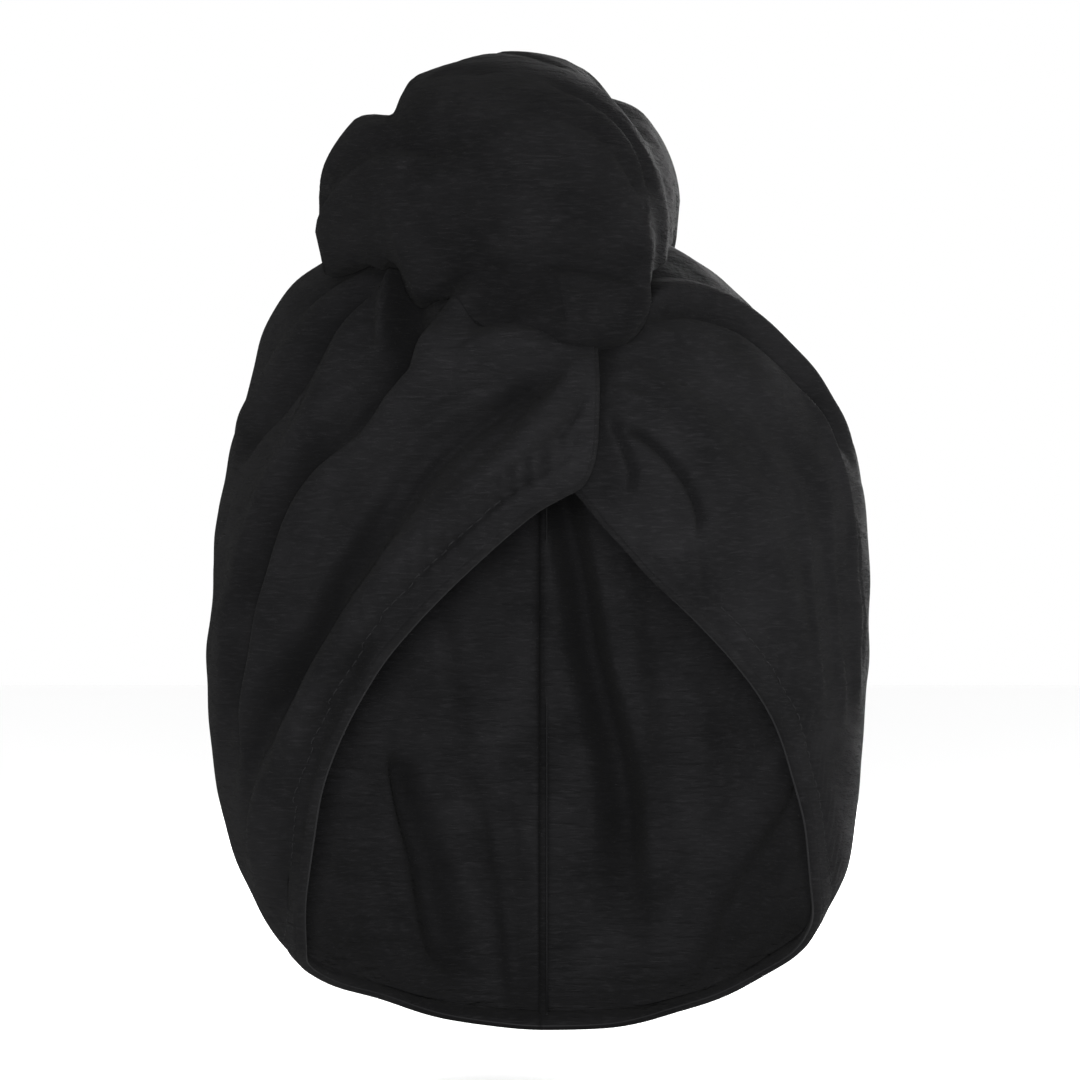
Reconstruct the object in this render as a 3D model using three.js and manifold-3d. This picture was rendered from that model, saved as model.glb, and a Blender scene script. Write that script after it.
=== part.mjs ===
// A hair wrap of soft black towelling, as it sits on a head: a hood of two cloth panels with an open
// face, and a long tail that starts in a knot over the forehead, is twisted, laid back over the crown
// and buttoned at the nape. Millimetres, +Z up, the face opening looks along -Y, and the origin is
// where the crown of the head touches the inside of the hood.
import * as THREE from 'three';
import { mergeVertices } from 'three/addons/utils/BufferGeometryUtils.js';
import Module from 'manifold-3d';

// Driving dimensions
const hoodWidth = 203;
const hoodDepth = 232;
const crownRise = 108;
const napeDrop = 140;
const cloth = 2.6;
const hemWidth = 8.5;
const hemThickness = 3.8;
const foldHeight = 8;
const tuckWidth = 11;
const seamWidth = 3.4;
const seamThickness = 1.9;
const tailWidth = 112;
const tailHeight = 50;
const grooveDepth = 9;
const buttonDiameter = 20;
const buttonThickness = 4.5;
const buttonRim = 1;
const shankDiameter = 5;

// Clearances between pieces that touch on the real wrap
const sewnGap = 0.3;
const seamGap = 0.6;
const lapGap = 1.4;
const layGap = 0.6;
const restSpan = 6;
const buttonholeGap = 0.4;

// The hood's form. Each row is a ring at one latitude around the middle of the head, with its reach to
// the left, right, front and back as a share of the half width, the half depth, or the rise or drop.
const formSections = [
  { latitude: 90, left: 1.028, right: 1.028, front: 1.028, back: 1.028 },
  { latitude: 75, left: 1.045, right: 1.03, front: 1.055, back: 1.042 },
  { latitude: 60, left: 1.09, right: 1.01, front: 1.105, back: 1.059 },
  { latitude: 45, left: 1.11, right: 0.985, front: 1.125, back: 1.052 },
  { latitude: 30, left: 1.015, right: 0.994, front: 1.095, back: 1.028 },
  { latitude: 15, left: 0.985, right: 0.998, front: 1.035, back: 1.002 },
  { latitude: 0, left: 0.975, right: 0.99, front: 0.99, back: 0.999 },
  { latitude: -15, left: 1.035, right: 1.022, front: 0.99, back: 1.027 },
  { latitude: -30, left: 1.135, right: 1.112, front: 1.047, back: 1.091 },
  { latitude: -45, left: 1.26, right: 1.285, front: 1.16, back: 1.21 },
  { latitude: -60, left: 1.365, right: 1.385, front: 1.36, back: 1.459 },
  { latitude: -75, left: 1.35, right: 1.37, front: 1.45, back: 1.5 },
];

// The cloth edge round the face and the nape. Azimuth 0 is the front, and minus is the left in the
// photo. The left edge starts at the knot and laps over the right one down to the point of the opening.
const lapAzimuth = 10;
const leftEdge = [
  { azimuth: 10.2, latitude: 35 },
  { azimuth: 9.8, latitude: 26 },
  { azimuth: 9.0, latitude: 18 },
  { azimuth: 7.0, latitude: 13.6 },
  { azimuth: 3.6, latitude: 11.8 },
  { azimuth: -1, latitude: 9.4 },
  { azimuth: -8, latitude: 4 },
  { azimuth: -18, latitude: -4.6 },
  { azimuth: -28.5, latitude: -14.5 },
  { azimuth: -38, latitude: -25.5 },
  { azimuth: -46.5, latitude: -36 },
  { azimuth: -55, latitude: -46 },
  { azimuth: -66, latitude: -54 },
  { azimuth: -82, latitude: -58.2 },
  { azimuth: -110, latitude: -63.6 },
  { azimuth: -145, latitude: -67 },
  { azimuth: -180, latitude: -67.8 },
];
const rightEdge = [
  { azimuth: 4.5, latitude: 14.6 },
  { azimuth: 8, latitude: 11 },
  { azimuth: 12.5, latitude: 6 },
  { azimuth: 19, latitude: -0.8 },
  { azimuth: 29.5, latitude: -9 },
  { azimuth: 40, latitude: -17.5 },
  { azimuth: 50, latitude: -27.3 },
  { azimuth: 58, latitude: -36.5 },
  { azimuth: 67, latitude: -45.6 },
  { azimuth: 82, latitude: -51.6 },
  { azimuth: 102, latitude: -58.8 },
  { azimuth: 125, latitude: -66.4 },
  { azimuth: 150, latitude: -68.2 },
  { azimuth: 180, latitude: -67.8 },
];
const lapFade = { from: 38, to: 46 };

// How each panel's cloth is laid. Each row is a line over the hood from the hem, at one share of the way
// along the edge, over a middle place, to a latitude on the seam that runs from the knot to the crown.
const leftLay = [
  { along: 0, middle: [2, 43], top: 47 },
  { along: 0.11, middle: [-9, 42], top: 52 },
  { along: 0.22, middle: [-25, 45], top: 58 },
  { along: 0.33, middle: [-44, 41], top: 64 },
  { along: 0.45, middle: [-64, 31], top: 70 },
  { along: 0.56, middle: [-83, 22], top: 75 },
  { along: 0.68, middle: [-108, 15], top: 80 },
  { along: 0.84, middle: [-143, 14], top: 85 },
  { along: 1, middle: [-180, 14], top: 90 },
];
const rightLay = [
  { along: 0, middle: [8.2, 33], top: 47 },
  { along: 0.1, middle: [22, 37], top: 53 },
  { along: 0.2, middle: [38, 38], top: 60 },
  { along: 0.32, middle: [56, 34], top: 67 },
  { along: 0.45, middle: [75, 26], top: 73 },
  { along: 0.6, middle: [100, 18], top: 79 },
  { along: 0.8, middle: [139, 14], top: 85 },
  { along: 1, middle: [180, 14], top: 90 },
];

// Folds of the hood: where each crest or crease runs, its width as a share of the hood width, and its
// height as a share of the fold height. A minus height is a valley seen from outside.
const folds = [
  { name: 'front_roll', run: [[6, 33], [-4, 20], [-14, 10], [-27, -4], [-40, -19], [-52, -34], [-66, -46]],
    start: 0.05, end: 0.065, height: 0.62 },
  { name: 'hem_groove', run: [[-30, -10], [-39, -21.5], [-47.5, -33], [-57, -43], [-74, -52]],
    start: 0.03, end: 0.045, height: -0.6 },
  { name: 'roll_valley', run: [[1, 31], [-9, 22], [-20, 15], [-31, 3], [-42, -12], [-53, -23], [-66, -36]],
    start: 0.045, end: 0.06, height: -0.75 },
  { name: 'brow_roll', run: [[3, 36], [-9, 34], [-23, 28], [-35, 20], [-45, 8], [-52, -8], [-60, -26], [-72, -40]],
    start: 0.055, end: 0.085, height: 0.95 },
  { name: 'temple_valley', run: [[-28, 48], [-26, 35], [-32, 24], [-43, 17], [-51, 7], [-59, -10], [-73, -35]],
    start: 0.05, end: 0.07, height: -1.0 },
  { name: 'temple_roll', run: [[-34, 50], [-42, 33], [-48, 19], [-60, 8], [-72, -10], [-84, -30]],
    start: 0.05, end: 0.09, height: 0.3 },
  { name: 'side_crease', run: [[-36, 46], [-46.5, 37.5], [-53, 30], [-65, 23], [-75, 18]],
    start: 0.03, end: 0.045, height: -0.6 },
  { name: 'side_roll', run: [[-33, 53], [-45, 44.5], [-57, 36], [-70, 27], [-80, 20]],
    start: 0.04, end: 0.06, height: 0.4 },
  { name: 'ear_roll', run: [[-62, 8], [-78, 4], [-98, 0], [-122, -4]],
    start: 0.07, end: 0.09, height: 0.2 },
  { name: 'right_top_roll', run: [[20, 42], [34, 47], [50, 47], [64, 42], [76, 31], [84, 18]],
    start: 0.05, end: 0.05, height: 0.35 },
  { name: 'right_top_crease', run: [[21, 40], [34, 42.5], [47, 41.5], [58, 36.5], [68, 28]],
    start: 0.035, end: 0.035, height: -0.55 },
  { name: 'right_side_roll', run: [[62, 31], [69, 20], [73, 8], [76, -8], [80, -24]],
    start: 0.04, end: 0.06, height: 0.3 },
  { name: 'right_brow_crease', run: [[14, 22], [18.5, 20.5], [23, 16.5], [27, 11], [28.5, 4]],
    start: 0.022, end: 0.028, height: -0.45 },
  { name: 'right_knot_crease', run: [[12.5, 24], [15, 18], [15.5, 12.5], [15, 8]],
    start: 0.022, end: 0.026, height: -0.35 },
  { name: 'right_brow_roll', run: [[15, 29], [25, 24], [35, 14], [43, 2], [50, -12], [60, -28]],
    start: 0.05, end: 0.07, height: 0.35 },
  { name: 'right_cheek_valley', run: [[17, 33], [30, 31], [43, 24], [55, 12], [62, -4], [67, -20]],
    start: 0.045, end: 0.07, height: -0.35 },
  { name: 'nape_pleat_middle', run: [[173, 42], [169, 20], [164, -4], [158, -28], [150, -52]],
    start: 0.04, end: 0.055, height: 0.8 },
  { name: 'nape_swell_middle', run: [[164, 40], [157, 15], [150, -10], [143, -34], [137, -54]],
    start: 0.05, end: 0.07, height: -0.45 },
  { name: 'nape_pleat_left', run: [[-150, 14], [-149, -8], [-153, -28], [-157, -44], [-160, -60]],
    start: 0.045, end: 0.055, height: 0.75 },
  { name: 'nape_swell_left', run: [[-165, 34], [-165, 8], [-167, -18], [-170, -40], [-172, -58]],
    start: 0.05, end: 0.055, height: -0.35 },
  { name: 'nape_pleat_seam', run: [[-176, -22], [-175, -38], [-174, -52], [-173, -61]],
    start: 0.035, end: 0.04, height: 0.4 },
  { name: 'nape_pleat_right', run: [[112, 0], [118, -22], [130, -40], [146, -56]],
    start: 0.04, end: 0.06, height: 0.7 },
  { name: 'nape_pleat_far_left', run: [[-118, 12], [-120, -12], [-126, -34], [-134, -56]],
    start: 0.05, end: 0.06, height: 0.4 },
];

// The tail, from the knot over the crown to the nape. Turn is the angle over the head from the face,
// side is the offset to the photo's right as a share of the half width, width and height are shares of
// the tail's, roundness is 1 for an oval section and less for a squarer one, and belly is the level of its
// widest place, as a share of its height.
const tailSections = [
  { turn: 34.5, side: 0.07, width: 0.14, height: 0.1, roundness: 0.9, belly: 0.14 },
  { turn: 36, side: 0.05, width: 0.36, height: 0.21, roundness: 0.9, belly: 0.14 },
  { turn: 38.5, side: 0.035, width: 0.43, height: 0.25, roundness: 0.85, belly: 0.14 },
  { turn: 41.5, side: 0.025, width: 0.44, height: 0.26, roundness: 0.85, belly: 0.16 },
  { turn: 43.7, side: 0.01, width: 0.47, height: 0.27, roundness: 0.85, belly: 0.24 },
  { turn: 45, side: -0.01, width: 0.6, height: 0.52, roundness: 0.8, belly: 0.4 },
  { turn: 46.5, side: -0.02, width: 0.64, height: 0.68, roundness: 0.8, belly: 0.4 },
  { turn: 50, side: -0.04, width: 0.7, height: 0.83, roundness: 0.84, belly: 0.3 },
  { turn: 54, side: -0.06, width: 0.8, height: 0.91, roundness: 0.84, belly: 0.24 },
  { turn: 58, side: -0.095, width: 0.88, height: 0.95, roundness: 0.88, belly: 0.18 },
  { turn: 63, side: -0.12, width: 0.955, height: 0.965, roundness: 0.96, belly: 0.15 },
  { turn: 70, side: -0.118, width: 0.955, height: 0.975, roundness: 1.04, belly: 0.14 },
  { turn: 76, side: -0.1, width: 0.91, height: 0.98, roundness: 1.05, belly: 0.14 },
  { turn: 84, side: -0.07, width: 0.875, height: 0.985, roundness: 1.05, belly: 0.14 },
  { turn: 97, side: -0.05, width: 0.865, height: 0.97, roundness: 1.03, belly: 0.14 },
  { turn: 113, side: -0.035, width: 0.82, height: 0.92, roundness: 0.98, belly: 0.14 },
  { turn: 130, side: -0.03, width: 0.74, height: 0.85, roundness: 0.95, belly: 0.14 },
  { turn: 148, side: -0.01, width: 0.66, height: 0.75, roundness: 0.92, belly: 0.14 },
  { turn: 166, side: 0, width: 0.55, height: 0.62, roundness: 0.9, belly: 0.14 },
  { turn: 184, side: 0, width: 0.43, height: 0.47, roundness: 0.88, belly: 0.14 },
  { turn: 198, side: 0, width: 0.34, height: 0.31, roundness: 0.85, belly: 0.14 },
  { turn: 207, side: 0, width: 0.29, height: 0.17, roundness: 0.8, belly: 0.14 },
  { turn: 216, side: 0, width: 0.27, height: 0.12, roundness: 0.75, belly: 0.14 },
  { turn: 222, side: 0, width: 0.2, height: 0.1, roundness: 0.75, belly: 0.14 },
];

// The grooves between the tail's twisted strands. Each is a run of turns over the head, with the place
// round the tail in degrees (0 is the photo's right, 90 the top, 180 the left), a width as a share of
// the tail's, and a depth as a share of the groove depth.
const tailGrooves = [
  { name: 'left_strand', run: [[57, 121], [66, 124], [74, 129], [83, 135], [94, 136], [104, 133], [120, 115], [138, 92],
    [156, 64], [174, 36]], width: 0.13, depth: 0.8 },
  { name: 'left_front', run: [[67, 176], [64, 166], [61, 154], [57.5, 138], [53.5, 122], [51, 108]],
    width: 0.12, depth: 0.5 },
  { name: 'right_strand', run: [[62, 24], [71, 40], [84, 50], [100, 42], [118, 24], [134, 4]],
    width: 0.16, depth: 0.7 },
  { name: 'right_front', run: [[52, 22], [55, 38], [58, 55], [60, 72]], width: 0.07, depth: 0.25 },
  { name: 'back_left_strand', run: [[96, 176], [114, 158], [134, 134], [154, 108], [174, 82], [194, 60]],
    width: 0.15, depth: 0.9 },
  { name: 'nape_strand', run: [[142, 176], [160, 158], [178, 134], [196, 112]], width: 0.12, depth: 0.7 },
];
const footSquareness = 5;
const buttonTurn = 216;

// Mesh fineness
const edgeSteps = 42;
const panelRows = 19;
const hemSides = 8;
const tailSteps = 52;
const tailSides = 28;
const foldSamples = 20;

const half = { width: hoodWidth / 2, depth: hoodDepth / 2 };
const crownShare = formSections[0].left;
const napeShare = 1.333;
const unit = { x: half.width, y: half.depth, rise: crownRise / crownShare, drop: napeDrop / napeShare };
const middle = new THREE.Vector3(0, 0, cloth - crownRise);
const meanRadius = (half.width + half.depth) / 2;
const rad = THREE.MathUtils.degToRad;

// A smooth curve through table rows: y at x, with xs rising
function smoothRow(xs, ys, x) {
  const last = xs.length - 1;
  const at = Math.min(Math.max(x, xs[0]), xs[last]);
  let i = 0;
  while (i < last - 1 && at > xs[i + 1]) i += 1;
  const slope = (k) => {
    const a = Math.max(k - 1, 0);
    const b = Math.min(k + 1, last);
    return (ys[b] - ys[a]) / (xs[b] - xs[a]);
  };
  const h = xs[i + 1] - xs[i];
  const t = (at - xs[i]) / h;
  const t2 = t * t;
  const t3 = t2 * t;
  return (2 * t3 - 3 * t2 + 1) * ys[i] + (t3 - 2 * t2 + t) * h * slope(i)
    + (3 * t2 - 2 * t3) * ys[i + 1] + (t3 - t2) * h * slope(i + 1);
}

const smoothStep = (from, to, x) => THREE.MathUtils.smoothstep(x, from, to);
const latitudes = formSections.map((row) => row.latitude).reverse();
const reachOf = {};
for (const way of ['left', 'right', 'front', 'back']) {
  reachOf[way] = formSections.map((row) => row[way]).reverse();
}

// The form's reach in one direction, as a share of the half sizes
function reach(azimuth, latitude) {
  const s = Math.sin(rad(azimuth));
  const c = Math.cos(rad(azimuth));
  const side = smoothRow(latitudes, s < 0 ? reachOf.left : reachOf.right, latitude);
  const along = smoothRow(latitudes, c > 0 ? reachOf.front : reachOf.back, latitude);
  return 1 / Math.sqrt((c / along) ** 2 + (s / side) ** 2);
}

function direction(azimuth, latitude) {
  const level = Math.cos(rad(latitude));
  return new THREE.Vector3(
    level * Math.sin(rad(azimuth)), -level * Math.cos(rad(azimuth)), Math.sin(rad(latitude)));
}

function stretch(v) {
  return new THREE.Vector3(v.x * unit.x, v.y * unit.y, v.z * (v.z > 0 ? unit.rise : unit.drop));
}

function anglesOfWay(v) {
  return {
    azimuth: THREE.MathUtils.radToDeg(Math.atan2(v.x, -v.y)),
    latitude: THREE.MathUtils.radToDeg(Math.atan2(v.z, Math.hypot(v.x, v.y))),
  };
}

function anglesOf(point) {
  const v = point.clone().sub(middle);
  return anglesOfWay(v.set(v.x / unit.x, v.y / unit.y, v.z / (v.z > 0 ? unit.rise : unit.drop)));
}

const plainPoint = (azimuth, latitude) =>
  stretch(direction(azimuth, latitude)).multiplyScalar(reach(azimuth, latitude)).add(middle);

// The form's outward normal, without folds
function formNormal(azimuth, latitude) {
  const step = 0.5;
  const d = direction(azimuth, latitude);
  const upright = Math.abs(d.z) > 0.9 ? new THREE.Vector3(0, 1, 0) : new THREE.Vector3(0, 0, 1);
  const a = new THREE.Vector3().crossVectors(upright, d).normalize();
  const b = new THREE.Vector3().crossVectors(d, a).normalize();
  const near = (axis, angle) => {
    const at = anglesOfWay(d.clone().applyAxisAngle(axis, rad(angle)));
    return plainPoint(at.azimuth, at.latitude);
  };
  const u = near(b, step).sub(near(b, -step));
  const v = near(a, step).sub(near(a, -step));
  const normal = u.cross(v).normalize();
  return normal.dot(stretch(d)) < 0 ? normal.negate() : normal;
}

// Each fold's run as directions, close together
const foldRuns = folds.map((fold) => {
  const ways = fold.run.map(([azimuth, latitude]) => direction(azimuth, latitude));
  const curve = new THREE.CatmullRomCurve3(ways, false, 'centripetal');
  return curve.getPoints(foldSamples).map((p) => p.normalize().toArray());
});

// The distance from a place to a run of places, and how far along the run it is met
function nearestOn(run, x, y, z) {
  let nearest = Infinity;
  let along = 0;
  for (let i = 0; i < run.length - 1; i += 1) {
    const [ax, ay, az] = run[i];
    const lx = run[i + 1][0] - ax;
    const ly = run[i + 1][1] - ay;
    const lz = run[i + 1][2] - az;
    const dot = (x - ax) * lx + (y - ay) * ly + (z - az) * lz;
    const t = Math.min(Math.max(dot / (lx * lx + ly * ly + lz * lz), 0), 1);
    const away = Math.hypot(x - ax - t * lx, y - ay - t * ly, z - az - t * lz);
    if (away < nearest) {
      nearest = away;
      along = (i + t) / (run.length - 1);
    }
  }
  return { nearest, along };
}

// How far the folds push the cloth out at one direction
function foldPush(azimuth, latitude) {
  const d = direction(azimuth, latitude);
  let push = 0;
  folds.forEach((fold, index) => {
    const { nearest, along } = nearestOn(foldRuns[index], d.x, d.y, d.z);
    const width = THREE.MathUtils.lerp(fold.start, fold.end, along) * hoodWidth;
    const across = (nearest * meanRadius) / width;
    if (across < 1) {
      const ends = smoothStep(0, 0.18, along + 0.04) * smoothStep(0, 0.22, 1.02 - along);
      push += fold.height * foldHeight * ends * (1 - across * across) ** 2;
    }
  });
  return push;
}

// The wrap's outer face with its folds, or a place lifted off it, square to the form
function outerPoint(azimuth, latitude, lift = 0) {
  return plainPoint(azimuth, latitude)
    .addScaledVector(formNormal(azimuth, latitude), foldPush(azimuth, latitude) + lift);
}

// The place on the form square below a point, and the point's height over the form there
function footOf(point) {
  let at = anglesOf(point);
  let height = 0;
  for (let i = 0; i < 5; i += 1) {
    const normal = formNormal(at.azimuth, at.latitude);
    height = point.clone().sub(plainPoint(at.azimuth, at.latitude)).dot(normal);
    at = anglesOf(point.clone().addScaledVector(normal, -height));
  }
  return { ...at, height };
}

// A closed body from rings of points, with flat fans on both ends
function ringBody(rings) {
  const count = rings[0].length;
  const points = rings.flat();
  const faces = [];
  for (let i = 0; i < rings.length - 1; i += 1) {
    for (let j = 0; j < count; j += 1) {
      const k = (j + 1) % count;
      faces.push([i * count + j, i * count + k, (i + 1) * count + j]);
      faces.push([i * count + k, (i + 1) * count + k, (i + 1) * count + j]);
    }
  }
  [[0, -1], [rings.length - 1, 1]].forEach(([ring, way]) => {
    const centre = new THREE.Vector3();
    rings[ring].forEach((p) => centre.add(p));
    points.push(centre.divideScalar(count));
    for (let j = 0; j < count; j += 1) {
      const a = ring * count + j;
      const b = ring * count + ((j + 1) % count);
      faces.push(way > 0 ? [points.length - 1, a, b] : [points.length - 1, b, a]);
    }
  });
  return facesToGeometry(points, faces);
}

function facesToGeometry(points, faces) {
  const geometry = new THREE.BufferGeometry();
  geometry.setAttribute('position', new THREE.Float32BufferAttribute(points.flatMap((p) => p.toArray()), 3));
  geometry.setIndex(faces.flat());
  if (signedVolume(points, faces) < 0) {
    geometry.setIndex(faces.map(([a, b, c]) => [a, c, b]).flat());
  }
  geometry.computeVertexNormals();
  return geometry;
}

function signedVolume(points, faces) {
  return faces.reduce((sum, [a, b, c]) =>
    sum + points[a].dot(new THREE.Vector3().crossVectors(points[b], points[c])), 0);
}

// A cloth wall from a grid of outer points, the inner points beneath them, and the outer face's place in
// the middle of each square, which chooses the way the square is split
function clothWall(outer, inner, centres) {
  const columns = outer.length;
  const rows = outer[0].length;
  const points = [...outer.flat(), ...inner.flat()];
  const at = (sheet, i, j) => (sheet * columns + i) * rows + j;
  const faces = [];
  const quad = (a, b, c, d, turned = false) => {
    if (turned) faces.push([a, b, d], [b, c, d]);
    else faces.push([a, b, c], [a, c, d]);
  };
  for (let i = 0; i < columns - 1; i += 1) {
    for (let j = 0; j < rows - 1; j += 1) {
      const ends = [[outer[i][j], outer[i + 1][j + 1]], [outer[i + 1][j], outer[i][j + 1]]];
      const [one, other] = ends.map(([p, q]) => p.clone().add(q).multiplyScalar(0.5).distanceTo(centres[i][j]));
      quad(at(0, i, j), at(0, i + 1, j), at(0, i + 1, j + 1), at(0, i, j + 1), other < one);
      quad(at(1, i + 1, j), at(1, i, j), at(1, i, j + 1), at(1, i + 1, j + 1), other >= one);
    }
    quad(at(1, i, 0), at(1, i + 1, 0), at(0, i + 1, 0), at(0, i, 0));
    quad(at(0, i, rows - 1), at(0, i + 1, rows - 1), at(1, i + 1, rows - 1), at(1, i, rows - 1));
  }
  for (let j = 0; j < rows - 1; j += 1) {
    quad(at(0, 0, j), at(0, 0, j + 1), at(1, 0, j + 1), at(1, 0, j));
    quad(at(1, columns - 1, j), at(1, columns - 1, j + 1), at(0, columns - 1, j + 1), at(0, columns - 1, j));
  }
  return facesToGeometry(points, faces);
}

// The cloth edge as evenly spaced places, each with the way in from the edge over the cloth
function edgePlaces(edge, count) {
  const curve = new THREE.CatmullRomCurve3(
    edge.map((row) => new THREE.Vector3(row.azimuth, row.latitude, 0)), false, 'centripetal');
  const fine = curve.getPoints(400).map((p) => ({
    azimuth: p.x, latitude: p.y, point: outerPoint(p.x, p.y, -cloth / 2),
  }));
  const lengths = [0];
  for (let i = 1; i < fine.length; i += 1) {
    lengths.push(lengths[i - 1] + fine[i].point.distanceTo(fine[i - 1].point));
  }
  const total = lengths[lengths.length - 1];
  const places = [];
  for (let i = 0; i <= count; i += 1) {
    let k = 1;
    while (k < fine.length - 1 && lengths[k] < (total * i) / count) k += 1;
    const t = ((total * i) / count - lengths[k - 1]) / (lengths[k] - lengths[k - 1]);
    const azimuth = THREE.MathUtils.lerp(fine[k - 1].azimuth, fine[k].azimuth, t);
    const latitude = THREE.MathUtils.lerp(fine[k - 1].latitude, fine[k].latitude, t);
    const normal = formNormal(azimuth, latitude);
    const ahead = fine[Math.min(k + 2, fine.length - 1)].point;
    const behind = fine[Math.max(k - 3, 0)].point;
    const run = ahead.clone().sub(behind).normalize();
    const inward = new THREE.Vector3().crossVectors(run, normal).normalize();
    if (edge === rightEdge) inward.negate();
    if (i === count) {
      inward.setX(0).normalize();
      normal.setX(0).normalize();
    }
    places.push({ azimuth, latitude, normal, inward,
      point: outerPoint(azimuth, latitude, -cloth / 2) });
  }
  return places;
}

const edges = { left: edgePlaces(leftEdge, edgeSteps), right: edgePlaces(rightEdge, edgeSteps) };

// How far the right side sinks where the left one laps over it
function lapSink(side, azimuth, latitude) {
  if (side === 'left') return 0;
  const depth = hemThickness + lapGap;
  const reachPast = lapAzimuth + THREE.MathUtils.radToDeg(tuckWidth / meanRadius);
  return -depth * (1 - smoothStep(lapAzimuth, reachPast, azimuth))
    * (1 - smoothStep(lapFade.from, lapFade.to, latitude));
}

// The hem's inner side as directions, where the panel's cloth begins
const panelBounds = {};
for (const side of ['left', 'right']) {
  panelBounds[side] = edges[side].map((place, index) => {
    const at = footOf(place.point.clone().addScaledVector(place.inward, hemWidth + sewnGap)
      .addScaledVector(place.normal, lapSink(side, place.azimuth, place.latitude)));
    return direction(index === edgeSteps ? 180 : at.azimuth, at.latitude);
  });
}

// The direction at one share of the way along the edge, and one share of the way up to the crown seam
function panelWay(side, station, up) {
  const lay = side === 'left' ? leftLay : rightLay;
  const share = station / edgeSteps;
  const alongs = lay.map((row) => row.along);
  const between = (pick) => {
    const ways = lay.map((row) => direction(...pick(row)));
    return new THREE.Vector3(
      smoothRow(alongs, ways.map((w) => w.x), share),
      smoothRow(alongs, ways.map((w) => w.y), share),
      smoothRow(alongs, ways.map((w) => w.z), share)).normalize();
  };
  const middleWay = between((row) => row.middle);
  const topWay = between((row) => [lapAzimuth, row.top]);
  const way = panelBounds[side][station].clone().multiplyScalar((1 - up) * (1 - 2 * up))
    .addScaledVector(middleWay, 4 * up * (1 - up))
    .addScaledVector(topWay, up * (2 * up - 1)).normalize();
  return anglesOfWay(way);
}

// Rows lie closer together by the hem than by the crown
const rowShare = (j) => 0.6 * (j / panelRows) + 0.4 * (j / panelRows) ** 2;

// One panel: columns run along the edge from the knot to the back seam, rows from the hem to the crown
function hoodPanel(side) {
  const left = side === 'left';
  const apart = new THREE.Vector3((left ? -1 : 1) * (sewnGap / 2), 0, 0);
  const place = ({ azimuth, latitude }, depth) =>
    outerPoint(azimuth, latitude, lapSink(side, azimuth, latitude) - depth).add(apart);
  const ways = Array.from({ length: edgeSteps + 1 }, (_, i) =>
    Array.from({ length: panelRows + 1 }, (__, j) => panelWay(side, i, rowShare(j))));
  const centres = ways.slice(1).map((column, i) => column.slice(1).map((far, j) => {
    const near = ways[i][j];
    const way = direction(near.azimuth, near.latitude).add(direction(far.azimuth, far.latitude))
      .add(direction(ways[i + 1][j].azimuth, ways[i + 1][j].latitude))
      .add(direction(ways[i][j + 1].azimuth, ways[i][j + 1].latitude)).normalize();
    return place(anglesOfWay(way), 0);
  }));
  return clothWall(
    ways.map((column) => column.map((way) => place(way, 0))),
    ways.map((column) => column.map((way) => place(way, cloth))), centres);
}

// The turned hem along one cloth edge: the cloth folded on itself, so twice as thick and round-edged
function edgeHem(side) {
  const left = side === 'left';
  const apart = new THREE.Vector3((left ? -1 : 1) * (sewnGap / 2), 0, 0);
  return ringBody(edges[side].map((place) => {
    const sink = lapSink(side, place.azimuth, place.latitude);
    const ring = [];
    for (let k = 0; k < hemSides; k += 1) {
      const angle = ((k + 0.5) / hemSides) * 2 * Math.PI;
      const across = Math.cos(angle) / Math.cos(Math.PI / hemSides);
      ring.push(place.point.clone()
        .addScaledVector(place.inward, (hemWidth / 2) * (1 + across))
        .addScaledVector(place.normal, (hemThickness / 2) * Math.sin(angle) + sink)
        .add(apart));
    }
    return ring;
  }));
}

// The sewn seam inside the hood, from the nape hem up the back and over the crown to the knot
function backSeam() {
  const stops = [];
  for (let j = 0; j <= panelRows; j += 1) stops.push(panelWay('left', edgeSteps, rowShare(j)));
  for (let i = edgeSteps - 3; i >= 3; i -= 3) stops.push(panelWay('left', i, 1));
  return ringBody(stops.map(({ azimuth, latitude }, index) => {
    const overBack = index <= panelRows;
    const sideways = overBack ? new THREE.Vector3(1, 0, 0)
      : new THREE.Vector3(Math.cos(rad(lapAzimuth)), Math.sin(rad(lapAzimuth)), 0);
    const base = plainPoint(overBack ? 180 : azimuth, latitude);
    const w = seamWidth / 2;
    return [[-w, 0], [w, 0], [w * 0.6, seamThickness], [-w * 0.6, seamThickness]].map(([x, depth]) => {
      const at = anglesOf(base.clone().addScaledVector(sideways, x));
      return outerPoint(at.azimuth, at.latitude, -cloth - seamGap - depth);
    });
  }));
}

const tailTurns = tailSections.map((row) => row.turn);
const tailValue = (name, turn) => smoothRow(tailTurns, tailSections.map((row) => row[name]), turn);

// A place on the tail's line over the hood, with its frame
function tailPlace(turn) {
  const side = tailValue('side', turn);
  const way = new THREE.Vector3(side, -Math.cos(rad(turn)), Math.sin(rad(turn))).normalize();
  const { azimuth, latitude } = anglesOfWay(way);
  return { azimuth, latitude, point: plainPoint(azimuth, latitude) };
}

// The highest the folds push the cloth within a short way of one direction
function highestPush(azimuth, latitude) {
  const span = THREE.MathUtils.radToDeg(restSpan / meanRadius);
  const stretchOut = 1 / Math.max(Math.cos(rad(latitude)), 0.2);
  return Math.max(...[-1, 0, 1].flatMap((a) => [-1, 0, 1].map((b) =>
    foldPush(azimuth + a * span * stretchOut, latitude + b * span))));
}

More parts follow.
